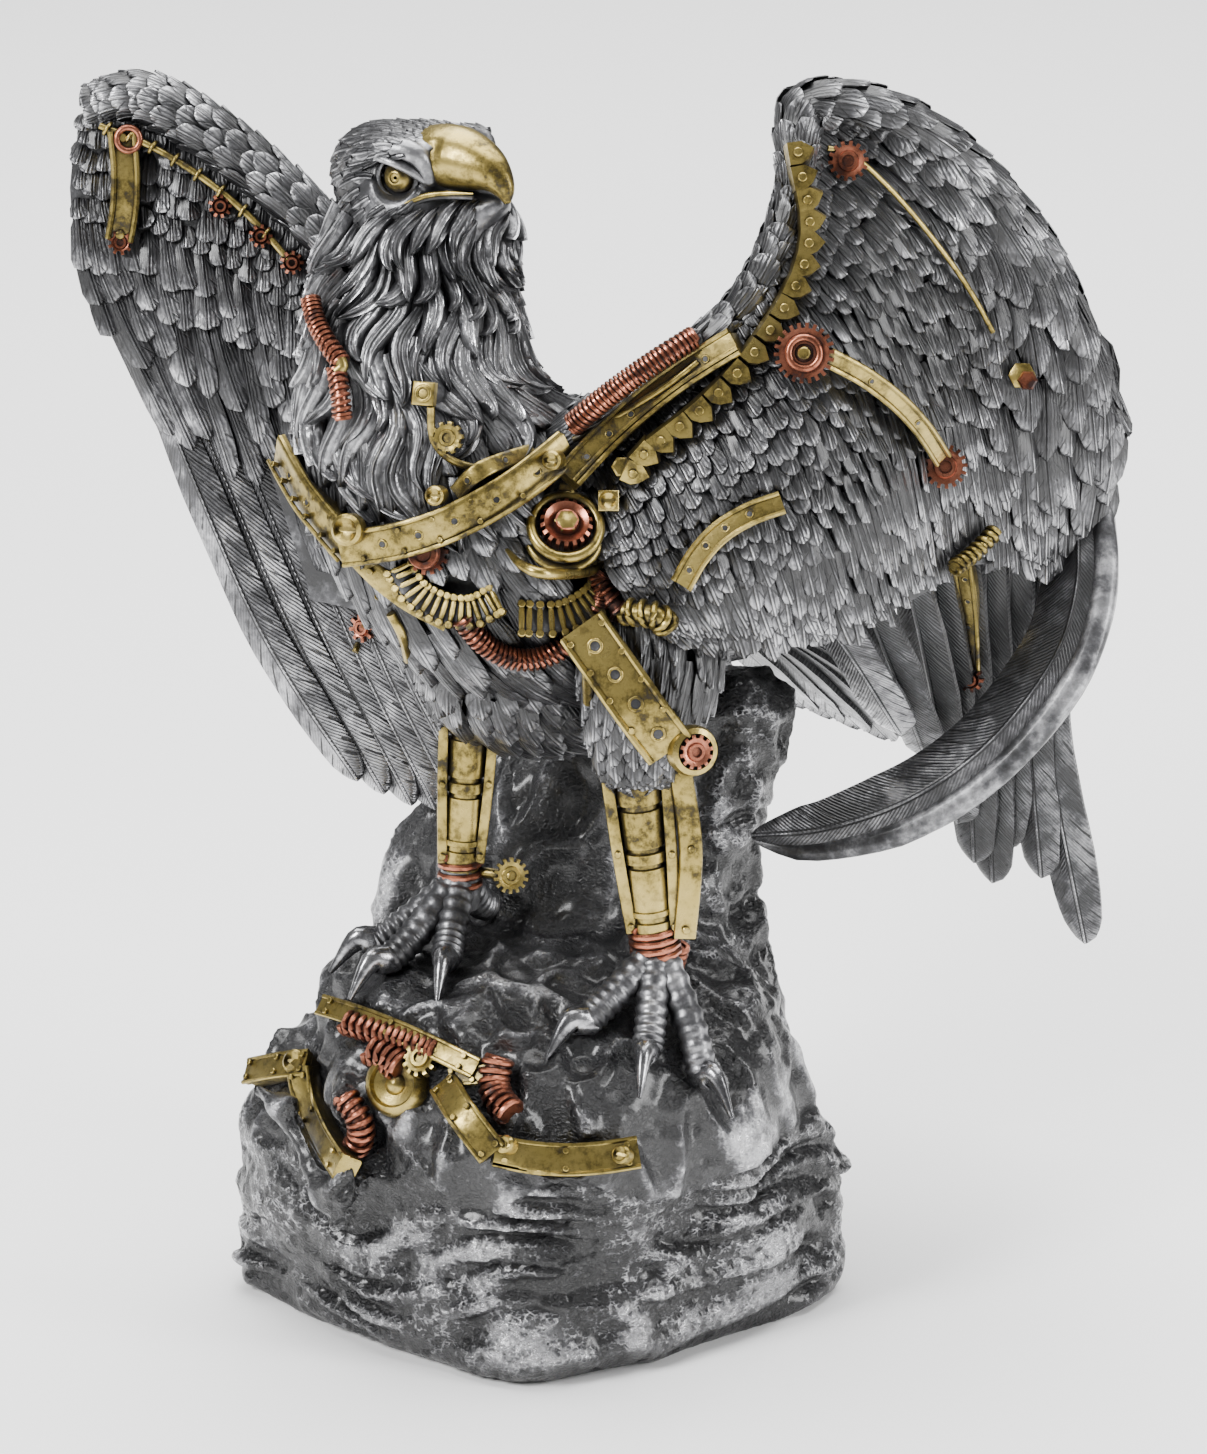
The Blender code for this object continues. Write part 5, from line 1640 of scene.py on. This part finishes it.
def build_right_wing_works():
    works = Works("right_wing_works")
    ridge = lifted(((102, 122), (150, 144), (200, 174), (250, 216), (298, 268)), 1.5, bend=3)
    works.brass(round_rod("ridge_rod", ridge, 0.85))
    for k in range(9):
        at = Vector(spline(ridge, 0.06 + k * 0.11))
        works.brass(ring("ridge_link", at, ridge[-1] - ridge[0], 1.5, 0.45))
    channel = lifted(((124, 132), (128, 170), (127, 206), (124, 238)), 2.2)
    facing = (0.1, -0.98, 0.1)
    works.plate("channel", channel, 6.2, 1.6, facing, rivets=((0.08, 0), (0.92, 0)), rivet=1.1)
    works.rails("channel_edge", channel, facing, 1.2, (-2.7, 2.7), 0.75, (0, 0.33, 0.67, 1))
    axis = Vector((0.1, -0.97, 0.15)).normalized()
    works.copper(ring("copper_ring", seen(131, 141, 2.8)[0], axis, 2.7, 0.8))
    works.copper(gear("rose", seen(126, 241, 2.8)[0], axis, 2.9, teeth=9, thick=1.8, tooth=0.28))
    for px, py in ((222, 205), (262, 236), (293, 262)):
        works.copper(gear("ridge_gear", seen(px, py, 1.5)[0], axis, 2.7, teeth=9, thick=4.0, tooth=0.28))
    for pixels in (((312, 300), (324, 322), (336, 342), (346, 362)), ((346, 372), (350, 394), (352, 418))):
        works.copper(coil("neck_spring", lifted(pixels, 3.0), 1.9, 0.5, 1.25, sides=6))
    works.brass(round_rod("spring_link", lifted(((344, 358), (347, 366), (348, 376)), 3.6), 1.5))
    clear_along(channel, 3.8)
    clear_along(ridge, 2.4)
    works.finish()


# Legs and feet

SHINS = (((22, -28, 146), (27, -28, 99), 1.0), ((-16, 2, 153), (-19, 0, 106), 0.88))
TOES = (
    (
        ((25, -31), (17, -36), (11, -40)),
        ((27, -32), (26, -39), (25, -45)),
        ((30, -31), (35, -37), (38, -41)),
        ((28, -24), (29, -19), (30, -14)),
    ),
    (
        ((-23, -2), (-32, -4), (-39, -5)),
        ((-23, -4), (-30, -11), (-36, -16)),
        ((-20, -5), (-21, -12), (-22, -18)),
        ((-17, 4), (-15, 8), (-13, 12)),
    ),
)


PISTON = (
    (0.0, 5.2), (0.14, 5.2), (0.145, 4.6), (0.17, 4.6), (0.175, 5.3), (0.2, 5.3), (0.205, 4.9), (0.42, 5.0),
    (0.425, 4.3), (0.445, 4.3), (0.45, 5.2), (0.5, 5.2), (0.505, 4.3), (0.525, 4.3), (0.53, 5.0), (0.72, 5.2),
    (0.725, 4.6), (0.75, 4.6), (0.755, 5.6), (0.86, 5.6), (0.865, 5.0), (1.0, 5.0),
)


def build_legs():
    works = Works("legs")
    for top, ankle, size in SHINS:
        top, ankle = Vector(top), Vector(ankle)
        axis = (top - ankle).normalized()
        tall = (top - ankle).length
        middle = (top + ankle) / 2
        profile = [(0.02, -tall / 2)]
        for share, wide in PISTON:
            profile.append((wide * size, (share - 0.5) * tall))
        profile.append((0.02, tall / 2))
        works.brass(lathe("piston", profile, middle, axis, sides=32))
        for side in (-1, 1):
            offset = Vector((side * 6.2 * size, -1.2, 0))
            line = [top + offset * 1.12, middle + offset, ankle + offset * 0.8 + axis * 4]
            rivets = (0.1, 0), (0.5, 0), (0.93, 0)
            works.plate("side_bar", line, 2.8 * size, 4.6 * size, (0, -1, 0), rivets=rivets, deep=0)
        line = [ankle + axis * 5, ankle + axis * 1.5, ankle - axis * 2]
        works.copper(coil("ankle_coil", line, 5.4 * size, 0.9, 2.0))
    works.copper(drum("ankle_drum", seen(705, 938, 1.0)[0], (0.2, -0.3, 0.9), 2.6, 6.5, grooves=3))
    heel = [Vector(p) for p in ((32, -31, 145), (35, -31, 124), (33.6, -31, 102))]
    rivets = (0.08, 0), (0.5, 0), (0.92, 0)
    works.plate("heel_plate", heel, 5.4, 2.6, (0.15, -1, 0.1), rivets=rivets, rivet=0.9)
    works.brass(round_rod("heel_gear_axle", [(-16, 0, 107), (-7, -3, 107)], 1.3, steps=4))
    works.brass(gear("heel_gear", (-7, -3, 107), (0.3, -0.9, 0.2), 4.2, teeth=14, thick=1.4, tooth=0.22))
    works.finish()


TOE_STEPS, TOE_SCALES = 44, 9


def rock_height(place):
    return SKINS["rock_base"].ray_cast(Vector((place.x, place.y, 300)), Vector((0, 0, -1)))[0].z


def build_feet():
    toes, claws = [], []
    radius, claw_length = 3.9, 11.0
    for (_, ankle, _), plans in zip(SHINS, TOES):
        ankle = Vector(ankle)
        foot = [(*(ankle + UP * up), *half) for up, *half in ((2, 4.6, 4.6), (-3, 5.0, 4.8), (-8, 4.4, 4.4))]
        toes.append(tube("foot", foot, sides=16, steps=8, across=(1, 0, 0)))
        for plan in plans:
            root, knuckle, claw = (Vector((x, y, 0)) for x, y in plan)
            reach = (claw - knuckle).normalized()
            tip = claw + reach * claw_length
            start = Vector((root.x, root.y, ankle.z - 5)).lerp(ankle, 0.5)
            middle = Vector((knuckle.x, knuckle.y, rock_height(knuckle) + radius * 1.7))
            end = Vector((claw.x, claw.y, rock_height(claw) + radius * 0.95))
            line = [start, middle, end]
            stations = []
            for i in range(TOE_STEPS + 1):
                share = i / TOE_STEPS
                scale = 1.05 + 0.07 * math.cos(share * 2 * math.pi * TOE_SCALES) - 0.1 * share
                scale *= 1 - 0.5 * ease(share, 0.95, 1.0)
                stations.append((*spline(line, share), radius * 0.94 * scale, radius * 0.98 * scale))
            toes.append(tube("toe", stations, across=reach.cross(UP), sides=16))
            point = Vector((tip.x, tip.y, end.z - claw_length * 0.62))
            bend = end.lerp(point, 0.45) + UP * radius
            hook = [(*(end - reach * 2.0), 3.2, 3.6), (*(end + reach * 1.5 + UP * 0.8), 3.1, 3.6)]
            hook += [(*bend, 2.1, 2.7), (*point, 0.5, 0.6)]
            claws.append(tube("claw", hook, across=reach.cross(UP), sides=14, steps=12))
    dressed(smooth(outward(join("toes", toes)), 60), SKIN, "eagle")
    dressed(smooth(outward(join("claws", claws)), 60), TALON, "eagle")


# The rock


# Pixels where the works are let into the rock.
SUNK = (
    (350, 1022), (375, 1032), (402, 1042), (430, 1052), (458, 1062), (395, 1075), (425, 1085), (365, 1075),
    (500, 1062), (498, 1090), (352, 1105), (360, 1135), (450, 1090), (460, 1106), (470, 1120), (482, 1138),
    (494, 1152), (520, 1158), (545, 1161), (570, 1162), (595, 1161), (620, 1158), (638, 1152), (270, 1074),
    (290, 1070), (306, 1080), (314, 1100), (324, 1125), (336, 1146), (302, 1100), (306, 1122), (314, 1142),
    (324, 1160), (716, 1066), (724, 1082),
)


def build_rock():
    """The rock's own solid, refined, with strata low down, melted folds higher up and pits."""
    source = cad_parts["rock_base"]
    rock = bpy.data.objects.new("rock", source.data.copy())
    bpy.context.scene.collection.objects.link(rock)
    pick(rock)
    bpy.ops.object.mode_set(mode="EDIT")
    bpy.ops.mesh.select_all(action="SELECT")
    bpy.ops.mesh.remove_doubles(threshold=0.00001)
    bpy.ops.object.mode_set(mode="OBJECT")
    fine = rock.modifiers.new("fine", "REMESH")
    fine.mode = "VOXEL"
    fine.voxel_size = 0.00117
    soft = rock.modifiers.new("soft", "SMOOTH")
    soft.factor = 0.5
    soft.iterations = 6
    apply_all(rock)
    mesh = rock.data
    hollows = [seen(x, y, 0.0, "rock_base")[0] for x, y in SUNK]
    relief = []
    normals = [v.normal.copy() for v in mesh.vertices]
    for vertex, normal in zip(mesh.vertices, normals):
        at = vertex.co / MM
        steep = 1 - abs(normal.z)
        edge = at.z + noise.noise(at / 22 + Vector((9, 2, 4))) * 16
        lower = 1 - ease(edge, 46, 51)
        lip = ease(edge, 45, 50) * (1 - ease(edge, 54, 66))
        warp = noise.noise(at / 46) * 26 + noise.noise(at / 15) * 3.0
        warp += noise.noise(Vector((3, 5, at.z / 8))) * 6
        layer = (at.z + 0.22 * at.x + warp) / 10.5
        ledge = ease(abs((layer % 1.0) - 0.5) * 2, 0.1, 0.8)
        strong = 0.1 + 1.2 * ease(noise.noise(at / 24 + Vector((3, 1, 8))), -0.35, 0.4)
        strata = (ledge - 0.6) * 2.6 * steep * strong + noise.noise(at / 19 + Vector((6, 6, 1))) * 2.2
        pillar = ease(at.z, 62, 76) * ease(at.x, 26, 40)
        coarse = max(lower, 0.85 * pillar)
        flow = noise.noise(Vector((at.x / 11, at.y / 11, at.z / 30)) + Vector((0, 0, 7)))
        folds = max(0.9 - abs(flow) * 6.0, -1.1) * 1.5
        folds += noise.noise(at / 15) * 2.2 + noise.noise(at / 6.5) * 1.2
        rubble = noise.fractal(at / 4.6, 0.8, 2.2, 4) * 0.5
        cell = noise.voronoi(at / 3.4)[0][0]
        pit = ease(0.42 - cell, 0.0, 0.34) * (0.35 + 0.65 * coarse)
        push = (lower + 0.5 * pillar) * strata + (1 - lower) * folds * 0.8 + lip * 0.9
        push += rubble * (0.15 + 0.85 * coarse) - pit * 0.8 * (0.2 + 0.8 * coarse)
        push = min(push, 2.0)
        sunk = 1 - ease(min((at - centre).length for centre in hollows), 3.5, 7.5)
        push = push * (1 - sunk) - 2.6 * sunk
        foot = ease(at.z, 0.3, 2.5)
        vertex.co += normal * ((push - 0.2) * foot * MM)
        # Painted shade: darker on the pillar behind the legs and round the works let into the rock. Raised
        # parts lighter and pits darker are the dry-brushed silver and the wash.
        bright = 0.5 + push * 0.3 - pit * 0.35 - sunk * 0.7 - pillar * 0.24
        relief.append((min(max(bright, 0), 1), 0.25 + 0.75 * coarse, 0, 1))
    trimmed(rock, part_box("rock_base"))
    paint(mesh, "relief", relief)
    dressed(smooth(rock, 75), STONE, "rock_base")


def build_rock_works():
    works = Works("rock_works", "dark_pewter_rock", "rock_base")
    on = "rock_base"
    out = Vector((-0.35, -0.85, 0.4)).normalized()
    plates = (
        (((256, 1076), (286, 1070), (316, 1066)), 6.0, (-0.6, -0.5, 0.6), 2.2),
        (((304, 1072), (312, 1100), (326, 1136), (346, 1166)), 6.0, (-0.6, -0.75, 0.25), 2.2),
        (((327, 1008), (372, 1024), (420, 1042), (480, 1070)), 4.4, (-0.3, -0.75, 0.6), 1.5),
        (((446, 1084), (464, 1114), (494, 1154)), 6.6, (-0.2, -0.85, 0.45), 0.8),
        (((494, 1152), (540, 1162), (590, 1162), (638, 1154)), 6.8, (0, -0.9, 0.45), 0.8),
        (((452, 1078), (476, 1076), (500, 1074)), 4.0, (-0.2, -0.8, 0.6), 0.6),
    )
    for pixels, width, facing, lift in plates:
        line = lifted(pixels, lift, on)
        rivets = [(s, shift * width * 0.3) for s in (0.1, 0.5, 0.9) for shift in (-1, 1)]
        works.plate("rock_plate", line, width, 2.2, facing, rivets=rivets, rivet=0.7)
        works.rails("rock_rail", line, facing, 0.9, (-0.48 * width, 0.48 * width), 0.55)
    for px, py, radius in ((302, 1066, 2.9), (334, 1148, 2.6), (505, 1148, 2.2), (622, 1160, 2.2)):
        works.brass(screw("rock_screw", seen(px, py, 2.4, on)[0], (-0.4, -0.75, 0.5), radius, tall=1.3))
    rolls = (
        (((350, 1024), (380, 1034), (412, 1044), (438, 1054)), 2.6, 0.9),
        (((376, 1050), (392, 1058), (404, 1068)), 3.6, 0.6),
        (((348, 1098), (360, 1116), (362, 1136), (354, 1152)), 2.7, 1.0),
        (((500, 1060), (494, 1080), (500, 1100), (512, 1114)), 3.2, 1.0),
    )
    for pixels, radius, lift in rolls:
        works.copper(coil("ribbed_roll", lifted(pixels, lift, on), radius, 0.75, 2.0))
    bowl = [(0.02, -4), (7.6, -4), (7.8, 0), (6.6, 2.2), (5.6, 2.6)]
    bowl += [(5.0, 1.4), (2.6, 0.6), (1.6, 1.8), (0.02, 2.2)]
    works.brass(lathe("bowl", bowl, seen(398, 1084, 0.6, on)[0], out, sides=30))
    at = seen(424, 1062, 1.6, on)[0]
    works.brass(gear("bowl_gear", at, (-0.4, -0.7, 0.6), 4.4, teeth=12, thick=2.4, tooth=0.22))
    works.finish()


# Floor, light and camera


def build_stage():
    deselect()
    bpy.ops.mesh.primitive_plane_add(size=14.0, location=(0, 0, 0))
    floor = bpy.context.object
    floor.name = "floor"
    paper = bpy.data.materials.new("pale_paper")
    paper.use_nodes = True
    shader = paper.node_tree.nodes["Principled BSDF"]
    shader.inputs["Base Color"].default_value = (0.95, 0.95, 0.95, 1)
    shader.inputs["Roughness"].default_value = 0.9
    floor.data.materials.append(paper)
    world = bpy.context.scene.world or bpy.data.worlds.new("studio")
    bpy.context.scene.world = world
    world.use_nodes = True
    backdrop = world.node_tree.nodes["Background"]
    backdrop.inputs["Color"].default_value = (1.0, 1.0, 1.0, 1)
    backdrop.inputs["Strength"].default_value = 0.22
    make_light("ceiling", (0.2, 0.9, 2.6), (0.0, 0.6, 0.0), (3.2, 3.2), 235)
    make_light("key", (-0.8, -0.7, 0.85), (0, 0, 0.16), (0.3, 0.5), 22)
    make_light("side", (1.0, -0.45, 0.45), (0, 0, 0.15), (0.2, 0.8), 11)
    make_camera()


for build in (
    build_harness, build_chest_works, build_thigh_works, build_left_wing_works, build_right_wing_works,
    build_legs, build_feet, build_head, build_core, build_body_feathers, build_neck_locks,
    build_wing_coverts, build_flight_feathers, build_rock, build_rock_works, build_stage,
):
    build()

bpy.context.view_layer.update()
